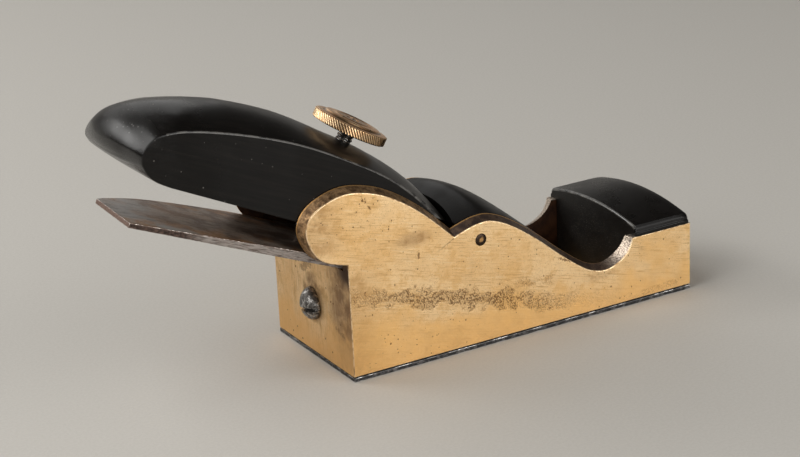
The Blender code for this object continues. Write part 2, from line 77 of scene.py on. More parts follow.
HEEL_X = SOLE_LOW.x
TOE_X = SOLE_HIGH.x
HALF_WIDTH = SOLE_HIGH.y
FIT_HALF = LEVER_HIGH.y             # half width of what fits between the cheeks
GAP = 0.3 * MM
CHEEK_INNER = FIT_HALF + GAP
CHEEK = HALF_WIDTH - CHEEK_INNER
FLOOR_TOP = BODY_LOW.z + 2.0 * MM
TOE_TOP = 20.7 * MM
RIM_RISE = 1.5 * MM
SCREW_AXIS = Vector(JOINTS["screw_turn"]["axis"]).normalized()
SCREW_AT = Vector(JOINTS["screw_turn"]["pos_m"])
SLIDE = Vector(JOINTS["iron_slide"]["axis"])
BED_SLOPE = SLIDE.z / -SLIDE.x      # the bed falls this much per unit toward the toe
BED_COS = -SLIDE.x
IRON_EDGE = Vector((IRON_HIGH.x, 0.0, IRON_LOW.z))
IRON_THICK = 2.5 * MM
MOUTH_X = IRON_EDGE.x + 2.0 * MM
LEVER_STEEP = math.tan(math.radians(50.0))

EAR_CURVE = [(-57.15, 34.3), (-63.7, 36.6), (-67.2, 40.2), (-69.0, 45.8), (-67.4, 50.1), (-62.7, 53.0),
             (-56.5, 54.3), (-49.2, 53.0), (-41.8, 49.7), (-33.2, 43.6), (-23.7, 34.7)]
HUMP_CURVE = [(-23.7, 34.7), (-19.5, 36.1), (-15.2, 36.95), (-11.0, 36.6), (-5.1, 33.9), (3.0, 28.2),
              (11.8, 20.9), (19.0, 15.6), (23.0, 13.7), (27.1, 13.05), (31.2, 14.3), (34.3, 16.4),
              (35.8, 18.8), (36.4, 20.7)]
LEVER_BACK = [(-104.5, 65.5), (-108.3, 67.8), (-110.5, 70.1), (-111.5, 72.2), (-111.9, 73.9),
              (-111.3, 76.4), (-109.2, 78.5), (-106.0, 79.7), (-98.2, 79.3), (-83.3, 75.4), (-67.4, 69.5),
              (-52.7, 61.8), (-40.4, 54.1), (-30.5, 45.2), (-22.9, 35.7)]
# How far the lever's middle stands proud of its side, and the share of the drop toward its far side
LEVER_CROWNS = [0.0, 0.2, 0.5, 1.1, 1.9, 3.4, 4.6, 5.0, 5.5, 5.8, 4.9, 3.6, 3.4, 3.8, 3.9]
LEVER_DROPS = [0.0, 0.1, 0.3, 0.5, 0.7, 1.0, 1.0, 1.0, 1.0, 0.67, 0.33, 0.0, 0.0, 0.0, 0.0]
LEVER_DROP = 2.5 * MM
# (along, across) from the middle of the iron's edge, with the rounded-off corner
IRON_PLAN = [(5.0, -20.0), (-149.0, -20.0), (-147.8, 5.2), (-145.7, 6.9), (-138.7, 11.0), (-132.5, 14.0),
             (-126.5, 15.7), (-120.0, 16.9), (-110.0, 18.0), (-93.0, 19.5), (5.0, 20.0)]


# ---- geometry helpers ----

def in_metres(pairs):
    return [(first * MM, second * MM) for first, second in pairs]


def spline(points, per_span=8):
    """A Catmull-Rom curve through the points (in millimetres), as (x, z) pairs in metres."""
    padded = [points[0], *points, points[-1]]
    curve = []
    for index in range(1, len(padded) - 2):
        a, b, c, d = (Vector(p) for p in padded[index - 1:index + 3])
        for step in range(per_span):
            t = step / per_span
            position = 0.5 * (2 * b + (c - a) * t + (2 * a - 5 * b + 4 * c - d) * t ** 2
                              + (3 * b - a - 3 * c + d) * t ** 3)
            curve.append((position.x * MM, position.y * MM))
    curve.append((points[-1][0] * MM, points[-1][1] * MM))
    return curve


def spread(values, per_span=8):
    """Values given at a spline's points, eased for all the points that spline() makes."""
    spans = zip(values, values[1:])
    return [a + (b - a) * step / per_span for a, b in spans for step in range(per_span)] + [values[-1]]


def offset_outward(curve, amounts):
    """Move an open (x, z) curve that runs toward +X up and out along its normals."""
    moved = []
    for index, (x, z) in enumerate(curve):
        before = Vector(curve[max(index - 1, 0)])
        after = Vector(curve[min(index + 1, len(curve) - 1)])
        along = (after - before).normalized()
        moved.append((x - along.y * amounts[index], z + along.x * amounts[index]))
    return moved


def inset(loop, amount, wider=None):
    """Move a closed loop of pairs inward by the amount; wider can multiply it point by point."""
    area = sum(a[0] * b[1] - b[0] * a[1] for a, b in zip(loop, loop[1:] + loop[:1]))
    turn = 1.0 if area > 0 else -1.0
    moved = []
    for index, point in enumerate(loop):
        here = Vector(point)
        before = (here - Vector(loop[index - 1])).normalized()
        after = (Vector(loop[(index + 1) % len(loop)]) - here).normalized()
        first = Vector((-before.y, before.x)) * turn
        second = Vector((-after.y, after.x)) * turn
        miter = (first + second) / max(1.0 + first.dot(second), 0.35)
        moved.append(tuple(here + miter * amount * (wider[index] if wider else 1.0)))
    return moved


def new_object(name, bm, materials=()):
    """Link the bmesh as an object, with its faces pointing out."""
    bmesh.ops.recalc_face_normals(bm, faces=bm.faces)
    mesh = bpy.data.meshes.new(name)
    for material in materials:
        mesh.materials.append(material)
    bm.to_mesh(mesh)
    bm.free()
    obj = bpy.data.objects.new(name, mesh)
    bpy.context.scene.collection.objects.link(obj)
    return obj


def skin(name, sections, materials=(), paint=None, caps=(0, 0)):
    """Skin equal closed loops of points; paint(band, index) gives a face's material number."""
    bm = bmesh.new()
    loops = [[bm.verts.new(point) for point in section] for section in sections]
    count = len(loops[0])
    for band, (first, second) in enumerate(zip(loops, loops[1:])):
        for index in range(count):
            following = (index + 1) % count
            face = bm.faces.new((first[index], first[following], second[following], second[index]))
            face.material_index = paint(band, index) if paint else 0
    bm.faces.new(loops[0]).material_index = caps[0]
    bm.faces.new(loops[-1]).material_index = caps[1]
    return new_object(name, bm, materials)


def prism(name, outline, low, high, materials=()):
    """Extrude an (x, z) outline along Y."""
    return skin(name, [[(x, y, z) for x, z in outline] for y in (low, high)], materials)


def basis(direction):
    """A matrix that turns +Z to the direction."""
    return Vector((0, 0, 1)).rotation_difference(Vector(direction)).to_matrix().to_4x4()


def revolve(name, profile, place, steps=64, shape=None, materials=()):
    """Turn (radius, height) pairs round +Z and place them; shape() can vary the radius with the angle."""
    bm = bmesh.new()
    rings = []
    for radius, height in profile:
        if radius == 0.0:
            rings.append([bm.verts.new((0.0, 0.0, height))])
            continue
        ring = []
        for step in range(steps):
            angle = 2 * math.pi * step / steps
            actual = shape(radius, height, angle) if shape else radius
            ring.append(bm.verts.new((actual * math.cos(angle), actual * math.sin(angle), height)))
        rings.append(ring)
    for upper, lower in zip(rings, rings[1:]):
        for step in range(steps):
            following = (step + 1) % steps
            corners = [upper[step % len(upper)], lower[step % len(lower)],
                       lower[following % len(lower)], upper[following % len(upper)]]
            corners = list(dict.fromkeys(corners))
            if len(corners) > 2:
                bm.faces.new(corners)
    bmesh.ops.transform(bm, matrix=place, verts=bm.verts)
    return new_object(name, bm, materials)


def bake(obj):
    """Replace the object's mesh by what its modifiers make of it."""
    graph = bpy.context.evaluated_depsgraph_get()
    mesh = bpy.data.meshes.new_from_object(obj.evaluated_get(graph))
    obj.modifiers.clear()
    obj.data = mesh


def combine(obj, tool, operation):
    """Apply a boolean with a tool and remove the tool."""
    modifier = obj.modifiers.new("combine", "BOOLEAN")
    modifier.operation = operation
    modifier.solver = "EXACT"
    modifier.object = tool
    bake(obj)
    bpy.data.objects.remove(tool)


def round_edges(obj, width, segments=2, angle=30.0, material=-1):
    """Round the sharp edges; the rounded faces can take a material of their own."""
    bevel = obj.modifiers.new("edges", "BEVEL")
    bevel.width = width
    bevel.segments = segments
    bevel.limit_method = "ANGLE"
    bevel.angle_limit = math.radians(angle)
    bevel.material = material
    bake(obj)


def dress(obj, body, cad=(), angle=40.0):
    """Smooth the piece, and say which body and CAD nodes it belongs to."""
    obj.data.shade_smooth()
    obj.data.set_sharp_from_angle(angle=math.radians(angle))
    weighted = obj.modifiers.new("normals", "WEIGHTED_NORMAL")
    weighted.keep_sharp = True
    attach(obj, body)
    if cad:
        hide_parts(*cad)
    return obj


def bed_height(x, above=0.0):
    """Height of the iron's underside at x, or of a plane parallel to it and above it."""
    return IRON_EDGE.z + (IRON_EDGE.x - x) * BED_SLOPE + above / BED_COS


def bed_crossing(height):
    """Where the body's bed, just under the iron, passes the height."""
    return IRON_EDGE.x - (height - bed_height(IRON_EDGE.x, -2 * GAP)) / BED_SLOPE


# ---- materials ----

class Paint:
    """A Principled material with short ways to add procedural nodes; coordinates are in millimetres."""

    def __init__(self, name, metallic=0.0, specular=0.5):
        self.material = bpy.data.materials.new(name)
        self.material.use_nodes = True
        self.tree = self.material.node_tree
        self.shader = self.tree.nodes["Principled BSDF"]
        self.shader.inputs["Metallic"].default_value = metallic
        self.shader.inputs["Specular IOR Level"].default_value = specular
        source = self.tree.nodes.new("ShaderNodeTexCoord")
        self.place = self.scaled(source.outputs["Object"], (1000.0, 1000.0, 1000.0))
        self.x, self.y, self.z = self.split(self.place)
        self.facing = self.split(source.outputs["Normal"])

    def put(self, value, socket):
        """Link an output, or set a plain value."""
        if isinstance(value, bpy.types.NodeSocket):
            self.tree.links.new(value, socket)
        elif isinstance(value, tuple) and len(value) == 3 and len(socket.default_value) == 4:
            socket.default_value = (*value, 1.0)
        else:
            socket.default_value = value

    def split(self, vector):
        node = self.tree.nodes.new("ShaderNodeSeparateXYZ")
        self.put(vector, node.inputs[0])
        return tuple(node.outputs)

    def scaled(self, vector, scale, turn=(0.0, 0.0, 0.0)):
        """Coordinates along turned axes, multiplied by the scale."""
        node = self.tree.nodes.new("ShaderNodeMapping")
        node.vector_type = "TEXTURE"
        self.put(vector, node.inputs["Vector"])
        node.inputs["Scale"].default_value = [1.0 / factor for factor in scale]
        node.inputs["Rotation"].default_value = [math.radians(angle) for angle in turn]
        return node.outputs[0]

    def math(self, operation, a, b=0.0, clamp=False):
        node = self.tree.nodes.new("ShaderNodeMath")
        node.operation = operation
        node.use_clamp = clamp
        self.put(a, node.inputs[0])
        self.put(b, node.inputs[1])
        return node.outputs[0]

    def plus(self, a, b):
        return self.math("ADD", a, b)

    def minus(self, a, b):
        return self.math("SUBTRACT", a, b)

    def vector(self, operation, output, a, b=(0.0, 0.0, 0.0)):
        """A vector operation's named output."""
        node = self.tree.nodes.new("ShaderNodeVectorMath")
        node.operation = operation
        self.put(a, node.inputs[0])
        self.put(b, node.inputs[1])
        return node.outputs[output]

    def noise(self, scale, detail=4.0, rough=0.55, vector=None, distortion=0.0):
        node = self.tree.nodes.new("ShaderNodeTexNoise")
        self.put(vector or self.place, node.inputs["Vector"])
        node.inputs["Scale"].default_value = scale
        node.inputs["Detail"].default_value = detail
        node.inputs["Roughness"].default_value = rough
        node.inputs["Distortion"].default_value = distortion
        return node.outputs["Fac"]

    def fit(self, value, low, high, to_low=0.0, to_high=1.0, smooth=True):
        """Map low..high to to_low..to_high, clamped; high may be below low."""
        if high < low:
            low, high, to_low, to_high = high, low, to_high, to_low
        node = self.tree.nodes.new("ShaderNodeMapRange")
        node.interpolation_type = "SMOOTHSTEP" if smooth else "LINEAR"
        self.put(value, node.inputs["Value"])
        ends = {"From Min": low, "From Max": high, "To Min": to_low, "To Max": to_high}
        for name, number in ends.items():
            self.put(number, node.inputs[name])
        return node.outputs["Result"]

    def vary(self, noise, to_low, to_high):
        """Map a noise's usual range to to_low..to_high."""
        return self.fit(noise, 0.3, 0.7, to_low, to_high)

    def coats(self, base, *coats):
        """Lay (share, colour) coats over the base, one after another."""
        for share, colour in coats:
            base = self.mix(share, base, colour)
        return base

    def specks(self, scale, share, radius, vector=None, soft=0.3):
        """Round spots in a share of the cells, with random radii up to the given part of a cell."""
        node = self.tree.nodes.new("ShaderNodeTexVoronoi")
        self.put(vector or self.place, node.inputs["Vector"])
        node.inputs["Scale"].default_value = scale
        split = self.tree.nodes.new("ShaderNodeSeparateColor")
        self.tree.links.new(node.outputs["Color"], split.inputs[0])
        size = self.fit(split.outputs[0], 1.0 - share, 1.0, 0.0, radius, smooth=False)
        inside = self.minus(size, node.outputs["Distance"])
        return self.fit(inside, 0.0, radius * soft)

    def mix(self, share, a, b):
        node = self.tree.nodes.new("ShaderNodeMix")
        node.data_type = "RGBA"
        self.put(share, node.inputs["Factor"])
        self.put(a, node.inputs[6])
        self.put(b, node.inputs[7])
        return node.outputs[2]

    def away(self, a, b, at, stretch=1.0):
        """Distance from a place in the plane of two coordinates, shorter along the first if stretched."""
        across = self.both(self.minus(a, at[0]), 1.0 / stretch)
        up = self.minus(b, at[1])
        square = self.plus(self.both(across, across), self.both(up, up))
        return self.math("SQRT", square)

    def stroke(self, a, b, start, end, width, wander=0.0):
        """1 on a line between two places in the plane of two coordinates, fading over its width."""
        run = (end[0] - start[0], end[1] - start[1])
        square = run[0] ** 2 + run[1] ** 2
        from_a = self.minus(a, start[0])
        from_b = self.minus(b, start[1])
        along = self.math("ADD", self.both(from_a, run[0] / square), self.both(from_b, run[1] / square),
                          clamp=True)
        off_a = self.minus(from_a, self.both(along, run[0]))
        off_b = self.minus(from_b, self.both(along, run[1]))
        distance = self.away(off_a, off_b, (0.0, 0.0))
        if wander:
            distance = self.plus(distance, self.fit(self.noise(1.5, 3.0), 0.35, 0.65, -wander, wander))
        return self.fit(distance, width, 0.3 * width)

    def either(self, *values):
        """The greatest of the values."""
        return functools.reduce(functools.partial(self.math, "MAXIMUM"), values)

    def both(self, *values):
        """The values multiplied."""
        return functools.reduce(functools.partial(self.math, "MULTIPLY"), values)

    def bump(self, height, depth):
        """Relief with the given depth in millimetres for a height of 1."""
        node = self.tree.nodes.new("ShaderNodeBump")
        node.inputs["Strength"].default_value = 1.0
        node.inputs["Distance"].default_value = depth * MM
        self.put(height, node.inputs["Height"])
        return node.outputs[0]

    def finish(self, colour, roughness, normal=None):
        self.put(colour, self.shader.inputs["Base Color"])
        self.put(roughness, self.shader.inputs["Roughness"])
        if normal:
            self.put(normal, self.shader.inputs["Normal"])
        return self.material


# Marks as strokes (start, end, width, wander): on the near side in (x, z), on the heel in (y, z)
DENTS = [((-35.2, 32.6), (-35.3, 31.2), 0.45, 0.1), ((-52.0, 52.6), (-51.6, 51.3), 0.35, 0.2),
         ((-51.0, 52.0), (-50.8, 50.9), 0.35, 0.2), ((-49.9, 49.6), (-49.6, 48.7), 0.35, 0.2),
         ((10.9, 20.1), (14.5, 18.6), 0.5, 0.25)]
HEEL_SCRATCHES = [((5.0, 25.5), (1.5, 27.5), 1.8, 0.9), ((9.0, 26.0), (6.0, 28.6), 0.35, 0.1),
                  ((-17.5, 12.0), (-13.5, 13.0), 0.7, 0.4)]


def gunmetal_face():
    """Hand-polished gunmetal: scratched, pitted, with a band of porosity, a few stains and some painted
    shade.
    """
    p = Paint("gunmetal_face", metallic=1.0)
    near_side = p.fit(p.facing[1], -0.7, -0.9)
    on_end = p.fit(p.math("ABSOLUTE", p.facing[0]), 0.7, 0.9)
    heel = p.fit(p.facing[0], -0.7, -0.9)
    flat = p.minus(1.0, on_end)
    lengthwise = p.noise(1.0, 6.0, 0.65, p.scaled(p.place, (0.16, 0.8, 3.2), (0.0, 14.0, 0.0)), 0.5)
    upright = p.noise(1.0, 5.0, 0.6, p.scaled(p.place, (2.0, 2.0, 0.16)))
    mottle = p.noise(0.30, 6.0, 0.62)
    cloud = p.noise(0.05, 3.0, 0.5)
    fine = p.noise(2.6, 3.0, 0.6)
    brushed = p.plus(p.both(lengthwise, flat), p.both(upright, on_end))
    # the porosity band slants across the near side
    centre = p.plus(p.both(p.x, -0.255), 10.6)
    away = p.math("ABSOLUTE", p.minus(p.z, centre))
    away = p.plus(away, p.vary(p.noise(0.30, 3.0), -1.6, 1.6))
    strip = p.both(p.fit(away, 3.3, 1.5), p.fit(p.x, 28.0, -8.0, 0.15, 1.0),
                   p.fit(p.x, -57.0, -38.0, 0.5, 1.0))
    second = p.both(p.stroke(p.x, p.z, (-9.0, 17.0), (9.0, 14.6), 2.2), p.fit(mottle, 0.4, 0.6))
    foot = p.stroke(p.x, p.z, (40.0, 2.6), (52.0, 3.4), 1.6)
    band = p.both(p.either(strip, p.both(second, 0.5), p.both(foot, 0.4)), near_side)
    grit = p.noise(1.0, 3.0, 0.65, p.scaled(p.place, (2.3, 2.3, 1.5), (0.0, -25.0, 0.0)))
    porous = p.both(p.fit(grit, 0.46, 0.55), band, p.fit(p.noise(0.8, 3.0), 0.34, 0.52, 0.35, 1.0))
    small_pits = p.specks(0.95, 0.32, 0.22, p.scaled(p.place, (1.0, 1.0, 0.6)))
    pits = p.either(p.specks(0.42, 0.30, 0.17), small_pits)
    dents = p.either(*(p.stroke(p.x, p.z, *dent) for dent in DENTS))
    scratch = p.both(p.stroke(p.x, p.z, (-24.0, 34.4), (-30.0, 31.3), 0.28, 0.10), p.fit(p.x, -31.0, -25.0))
    pitted = p.either(p.fit(p.z, 38.0, 44.0), p.both(p.fit(p.z, 15.0, 10.0), p.fit(p.x, -8.0, -26.0)))
    ear_pits = p.both(p.specks(1.0, 0.6, 0.27), pitted, p.fit(mottle, 0.40, 0.54))
    smudge = p.both(p.fit(p.away(p.x, p.z, (-36.6, 37.2), 2.6), 3.0, 0.4),
                    p.fit(mottle, 0.35, 0.6, 0.5, 1.0))
    # painted shade: darker in the valley of the toe's rim and on the ear's left part
    valley_shade = p.both(p.fit(p.away(p.x, p.z, (24.5, 12.0), 3.2), 2.4, 0.2), p.fit(mottle, 0.4, 0.6, 0.3, 1.0))
    rear = p.both(p.fit(p.x, -44.0, -57.0), p.fit(p.z, 36.0, 28.0), p.fit(mottle, 0.35, 0.65, 0.4, 1.0))
    shade = p.both(p.fit(p.x, -55.0, -67.0), p.fit(p.z, 36.0, 41.0), p.fit(mottle, 0.35, 0.6, 0.4, 1.0))
    stains_and_shade = p.either(p.both(smudge, 0.85), p.both(valley_shade, 0.55), p.both(rear, 0.4), p.both(shade, 0.55))
    # the heel's patina along the near edge and round the screw, and a dark patch in the corner under the
    # notch
    edge = p.both(p.fit(p.y, -3.0, -18.0), p.fit(p.z, 5.0, 18.0, 0.4, 1.0),
                  p.fit(p.noise(0.2, 5.0, 0.6), 0.32, 0.6, 0.6, 1.0))
    halo = p.both(p.fit(p.away(p.y, p.z, (0.0, HEEL_SCREW.z / MM + 2.0), 0.8), 11.0, 4.2),
                  p.fit(mottle, 0.35, 0.62, 0.5, 1.0))
    corner = p.fit(p.away(p.y, p.z, (-20.5, 31.0), 1.6), 5.0, 1.0)
    patina = p.both(p.either(p.both(edge, 0.9), p.both(halo, 0.8), 0.22), heel)
    heel_scratch = p.both(p.either(*(p.stroke(p.y, p.z, *mark) for mark in HEEL_SCRATCHES)), heel)
    low = p.plus(p.z, p.vary(cloud, -6.0, 6.0))
    lines = p.either(p.both(scratch, near_side), heel_scratch)
    holes = p.either(pits, porous, p.both(p.either(dents, ear_pits), near_side))
    base = p.mix(p.fit(cloud, 0.35, 0.65), (0.91, 0.60, 0.285), (1.0, 0.72, 0.40))
    base = p.coats(
        base,
        (p.fit(mottle, 0.45, 0.70, 0.0, 0.6), (0.66, 0.40, 0.15)),
        (p.fit(brushed, 0.52, 0.66, 0.0, 0.6), (0.48, 0.28, 0.105)),
        (p.fit(brushed, 0.44, 0.32, 0.0, 0.5), (1.0, 0.83, 0.55)),
        (p.fit(fine, 0.54, 0.70, 0.0, 0.5), (0.40, 0.23, 0.09)),
        (p.fit(low, 19.0, 7.0, 0.0, 0.75), (0.97, 0.60, 0.235)),
        # a stain, a darker rear patch, and painted shade in the valley and on the ear's left
        (p.both(stains_and_shade, near_side), (0.31, 0.155, 0.055)),
        (patina, (0.19, 0.105, 0.055)),
        (p.both(corner, heel), (0.08, 0.045, 0.028)),
        (p.both(band, 0.3), (0.55, 0.32, 0.12)),
        (p.both(lines, 0.6), (0.25, 0.15, 0.07)),
        (p.both(holes, 0.75), (0.12, 0.052, 0.016)))
    rough = p.plus(p.vary(mottle, 0.38, 0.48), p.both(p.either(holes, patina), 0.24))
    relief = p.minus(p.both(brushed, 0.5), holes)
    return p.finish(base, rough, p.bump(relief, 0.06))


def gunmetal_rim():
    """The bevelled rims: brown patina, bronze on the ear, brighter where the rim turns up at the toe."""
    p = Paint("gunmetal_rim", metallic=0.85)
    blotch = p.noise(0.5, 5.0, 0.65)
    grain = p.noise(2.2, 4.0, 0.7)
    toe = p.fit(p.x, 26.0, 33.0)
    ear = p.fit(p.x, -24.5, -27.0)
    depth = p.minus(HALF_WIDTH / MM, p.math("ABSOLUTE", p.y))
    inner = p.both(p.fit(depth, CHEEK / MM - 0.55, CHEEK / MM - 0.25), p.fit(p.x, 30.0, 10.0))
    brown = p.mix(p.fit(blotch, 0.38, 0.66), (0.085, 0.058, 0.048), (0.19, 0.125, 0.085))
    bronze = p.mix(p.fit(blotch, 0.30, 0.70), (0.10, 0.055, 0.028), (0.58, 0.36, 0.18))
    base = p.mix(ear, brown, bronze)
    bright = p.mix(p.fit(grain, 0.4, 0.62), (0.20, 0.15, 0.12), (0.80, 0.68, 0.55))
    base = p.mix(toe, base, bright)
    base = p.mix(inner, base, (0.72, 0.41, 0.15))
    base = p.mix(p.both(p.fit(grain, 0.56, 0.68), p.fit(toe, 1.0, 0.0)), base, (0.05, 0.033, 0.025))
    return p.finish(base, p.vary(grain, 0.30, 0.50), p.bump(grain, 0.06))


def gunmetal_arris():
    """Worn edges of the casting."""
    p = Paint("gunmetal_arris", metallic=1.0)
    worn = p.noise(0.6, 4.0, 0.65)
    base = p.mix(p.fit(worn, 0.34, 0.56), (0.50, 0.31, 0.15), (0.98, 0.74, 0.46))
    return p.finish(base, p.vary(worn, 0.50, 0.36), p.bump(p.noise(2.0, 3.0), 0.04))


def gunmetal_inside_shaded():
    """The cheeks' inner faces, reddish brown with age, and painted dark as the shade between the cheeks."""
    p = Paint("gunmetal_inside_shaded", metallic=0.5)
    blotch = p.noise(0.25, 5.0, 0.6)
    base = p.mix(p.fit(blotch, 0.35, 0.65), (0.035, 0.014, 0.008), (0.10, 0.045, 0.022))
    return p.finish(base, p.vary(blotch, 0.55, 0.42), p.bump(p.noise(1.5, 4.0), 0.05))


def ebony(name, roughness, dusty=0.0, shine=0.21):
    """Polished ebony: near black, with faint grain, lint and small worn spots."""
    p = Paint(name, specular=shine)
    grain = p.noise(1.0, 5.0, 0.6, p.scaled(p.place, (0.06, 1.4, 1.4), (0.0, 24.0, 0.0)))
    cloud = p.noise(0.12, 4.0, 0.6)
    dust = p.specks(0.7, 0.26 + dusty, 0.17)
    lint = p.specks(0.34, 0.14, 0.11, p.scaled(p.place, (1.0, 0.4, 1.0), (20.0, 30.0, 0.0)))
    specks = p.both(p.either(dust, lint), p.fit(p.noise(0.10, 3.0), 0.38 - dusty, 0.54))
    base = p.mix(p.fit(grain, 0.4, 0.7), (0.0030, 0.0025, 0.0022), (0.0062, 0.0050, 0.0042))
    base = p.mix(p.both(specks, 0.6), base, (0.19, 0.18, 0.16))
    powder = p.both(p.fit(p.noise(3.0, 3.0, 0.6), 0.55, 0.70), dusty, p.fit(cloud, 0.36, 0.60, 0.3, 1.0))
    base = p.mix(powder, base, (0.13, 0.12, 0.10))
    rough = p.plus(p.vary(cloud, *roughness), p.both(specks, 0.3))
    relief = p.plus(p.both(grain, 0.15), p.both(cloud, 0.5))
    return p, base, rough, relief


def plain_ebony(name, roughness, dusty=0.0, shine=0.21):
    p, base, rough, relief = ebony(name, roughness, dusty, shine)
    return p.finish(base, rough, p.bump(relief, 0.03))


def lever_ebony():
    """The lever's ebony: worn rough over the end of the tail, with a few pale chips there and a painted
    sheen on the top near the tail.
    """
    p, base, rough, relief = ebony("lever_ebony", (0.15, 0.22))
    crumb = p.noise(2.0, 5.0, 0.75)
    tail = p.both(p.fit(p.x, -104.0, -108.0), p.fit(p.z, 75.0, 78.0))
    end = p.both(p.fit(p.x, -99.0, -103.0), p.fit(crumb, 0.48, 0.62))
    flakes = p.both(tail, p.specks(1.3, 0.6, 0.30), p.fit(p.noise(0.3, 3.0), 0.40, 0.55))
    # painted sheen: a paler soft patch on the top near the tail
    painted_sheen = p.both(p.fit(p.away(p.x, p.y, (-92.0, -6.0), 1.6), 3.0, 0.5), p.fit(crumb, 0.42, 0.6), 0.5)
    base = p.mix(p.both(flakes, 0.5), base, (0.26, 0.25, 0.24))
    base = p.mix(painted_sheen, base, (0.07, 0.066, 0.06))
    rough = p.plus(rough, p.both(tail, 0.14))
    gloss = p.both(p.fit(p.x, -97.0, -105.0), p.fit(p.y, -7.0, -15.0), p.fit(p.facing[1], -0.98, -0.88))
    p.put(p.fit(gloss, 0.0, 1.0, 0.21, 0.48), p.shader.inputs["Specular IOR Level"])
    rough = p.plus(rough, p.fit(p.x, -99.0, -88.0, 0.0, 0.13))
    relief = p.plus(relief, p.both(p.either(tail, p.both(end, 0.35)), crumb, 1.4))
    return p.finish(base, rough, p.bump(relief, 0.03))


def ebony_edge_wear_and_highlight():
    """The ebony's arrises where a light line shows: a little grey from wear, and painted lighter as a
    highlight.
    """
    p = Paint("ebony_edge_wear_and_highlight", specular=0.5)
    worn = p.noise(0.35, 3.0, 0.6)
    base = p.mix(p.fit(worn, 0.34, 0.62), (0.016, 0.015, 0.014), (0.085, 0.080, 0.073))
    return p.finish(base, p.vary(worn, 0.24, 0.36), p.bump(p.noise(1.5, 4.0), 0.03))


def iron_face():
    """The iron's faces: brown patina over grey steel, pitted, with orange rust near the edges."""
    p = Paint("iron_face", metallic=0.7)
    along = p.noise(1.0, 6.0, 0.65, p.scaled(p.place, (0.12, 0.8, 0.8), (0.0, 22.0, 0.0)), 0.5)
    blotch = p.noise(0.16, 5.0, 0.6)
    grain = p.noise(1.6, 5.0, 0.7)
    rust = p.both(p.fit(p.noise(0.13, 4.0), 0.46, 0.60),
                  p.fit(p.math("ABSOLUTE", p.y), 3.0, 17.0, 0.3, 1.0))
    pits = p.specks(0.8, 0.25, 0.22)
    grey = p.both(p.fit(p.x, -96.0, -107.0), p.fit(p.noise(0.12, 3.0), 0.40, 0.55, 0.3, 1.0))
    base = p.mix(p.fit(blotch, 0.38, 0.62), (0.22, 0.14, 0.10), (0.44, 0.345, 0.28))
    base = p.coats(
        base,
        (grey, (0.44, 0.41, 0.39)),
        (p.both(rust, 0.65), (0.48, 0.235, 0.09)),
        (p.fit(along, 0.50, 0.66, 0.0, 0.65), (0.10, 0.066, 0.05)),
        (p.fit(grain, 0.60, 0.74, 0.0, 0.7), (0.05, 0.035, 0.028)),
        (p.both(pits, 0.8), (0.03, 0.018, 0.012)))
    relief = p.minus(grain, pits)
    return p.finish(base, p.vary(grain, 0.36, 0.55), p.bump(relief, 0.06))


def iron_side():
    """The iron's narrow sides: pinkish brown behind, dark and pitted, then bright toward the body."""
    p = Paint("iron_side", metallic=0.75)
    grain = p.noise(1.4, 5.0, 0.7)
    streak = p.noise(1.0, 5.0, 0.65, p.scaled(p.place, (0.35, 3.0, 3.0), (0.0, 22.5, 0.0)))
    bright = p.both(p.fit(p.x, -103.0, -95.0, 0.0, 0.8), p.fit(streak, 0.30, 0.60))
    base = p.mix(p.fit(grain, 0.4, 0.62), (0.030, 0.020, 0.016), (0.11, 0.07, 0.055))
    base = p.mix(bright, base, (0.38, 0.34, 0.31))
    rear = p.fit(p.facing[0], -0.5, -0.8)
    base = p.mix(p.both(rear, p.fit(grain, 0.66, 0.48)), base, (0.17, 0.105, 0.08))
    return p.finish(base, p.vary(grain, 0.35, 0.55), p.bump(grain, 0.08))


def steel(name, dark, light, scale=0.8, roughness=(0.24, 0.45), depth=0.05):
    """Dark oxidised steel with bright worn spots."""
    p = Paint(name, metallic=0.9)
    blotch = p.noise(scale, 6.0, 0.65, distortion=0.4)
    grain = p.noise(scale * 4.0, 4.0, 0.6)
    base = p.mix(p.fit(blotch, 0.45, 0.66), dark, light)
    base = p.mix(p.fit(grain, 0.58, 0.72, 0.0, 0.6), base, (0.02, 0.018, 0.016))
    return p.finish(base, p.vary(blotch, roughness[1], roughness[0]), p.bump(grain, depth))


def wheel_brass():
    """The thumbscrew wheel: golden on its high spots, brown in the hollows."""
    p = Paint("wheel_brass", metallic=1.0)
    offset = p.vector("SUBTRACT", "Vector", p.place, SCREW_AT / MM)
    height = p.vector("DOT_PRODUCT", "Value", offset, SCREW_AXIS)
    length = p.vector("LENGTH", "Value", offset)
    square = p.minus(p.both(length, length), p.both(height, height))
    radius = p.math("SQRT", square)
    top = p.fit(height, 1.0, 1.4)
    hollow = p.either(p.both(top, p.fit(p.math("ABSOLUTE", p.minus(radius, 8.35)), 0.6, 0.15)),
                      p.both(top, p.fit(radius, 5.0, 4.4, 0.0, 0.6)))
    blotch = p.noise(0.5, 4.0, 0.6)
    base = p.mix(p.fit(blotch, 0.35, 0.65), (0.86, 0.56, 0.30), (0.97, 0.71, 0.43))
    dull = p.mix(p.fit(blotch, 0.35, 0.65), (0.80, 0.44, 0.22), (0.98, 0.64, 0.36))
    base = p.mix(p.both(top, p.fit(p.noise(1.2, 4.0), 0.62, 0.45, 0.55, 0.95)), base, dull)
    base = p.mix(p.both(hollow, 0.7), base, (0.09, 0.052, 0.03))
    groove = p.both(p.fit(radius, 10.67, 10.50), p.fit(p.math("ABSOLUTE", height), 1.3, 1.15))
    base = p.mix(p.both(groove, 0.9), base, (0.10, 0.045, 0.018))
    return p.finish(base, p.vary(blotch, 0.36, 0.26), p.bump(p.noise(1.5, 4.0), 0.03))


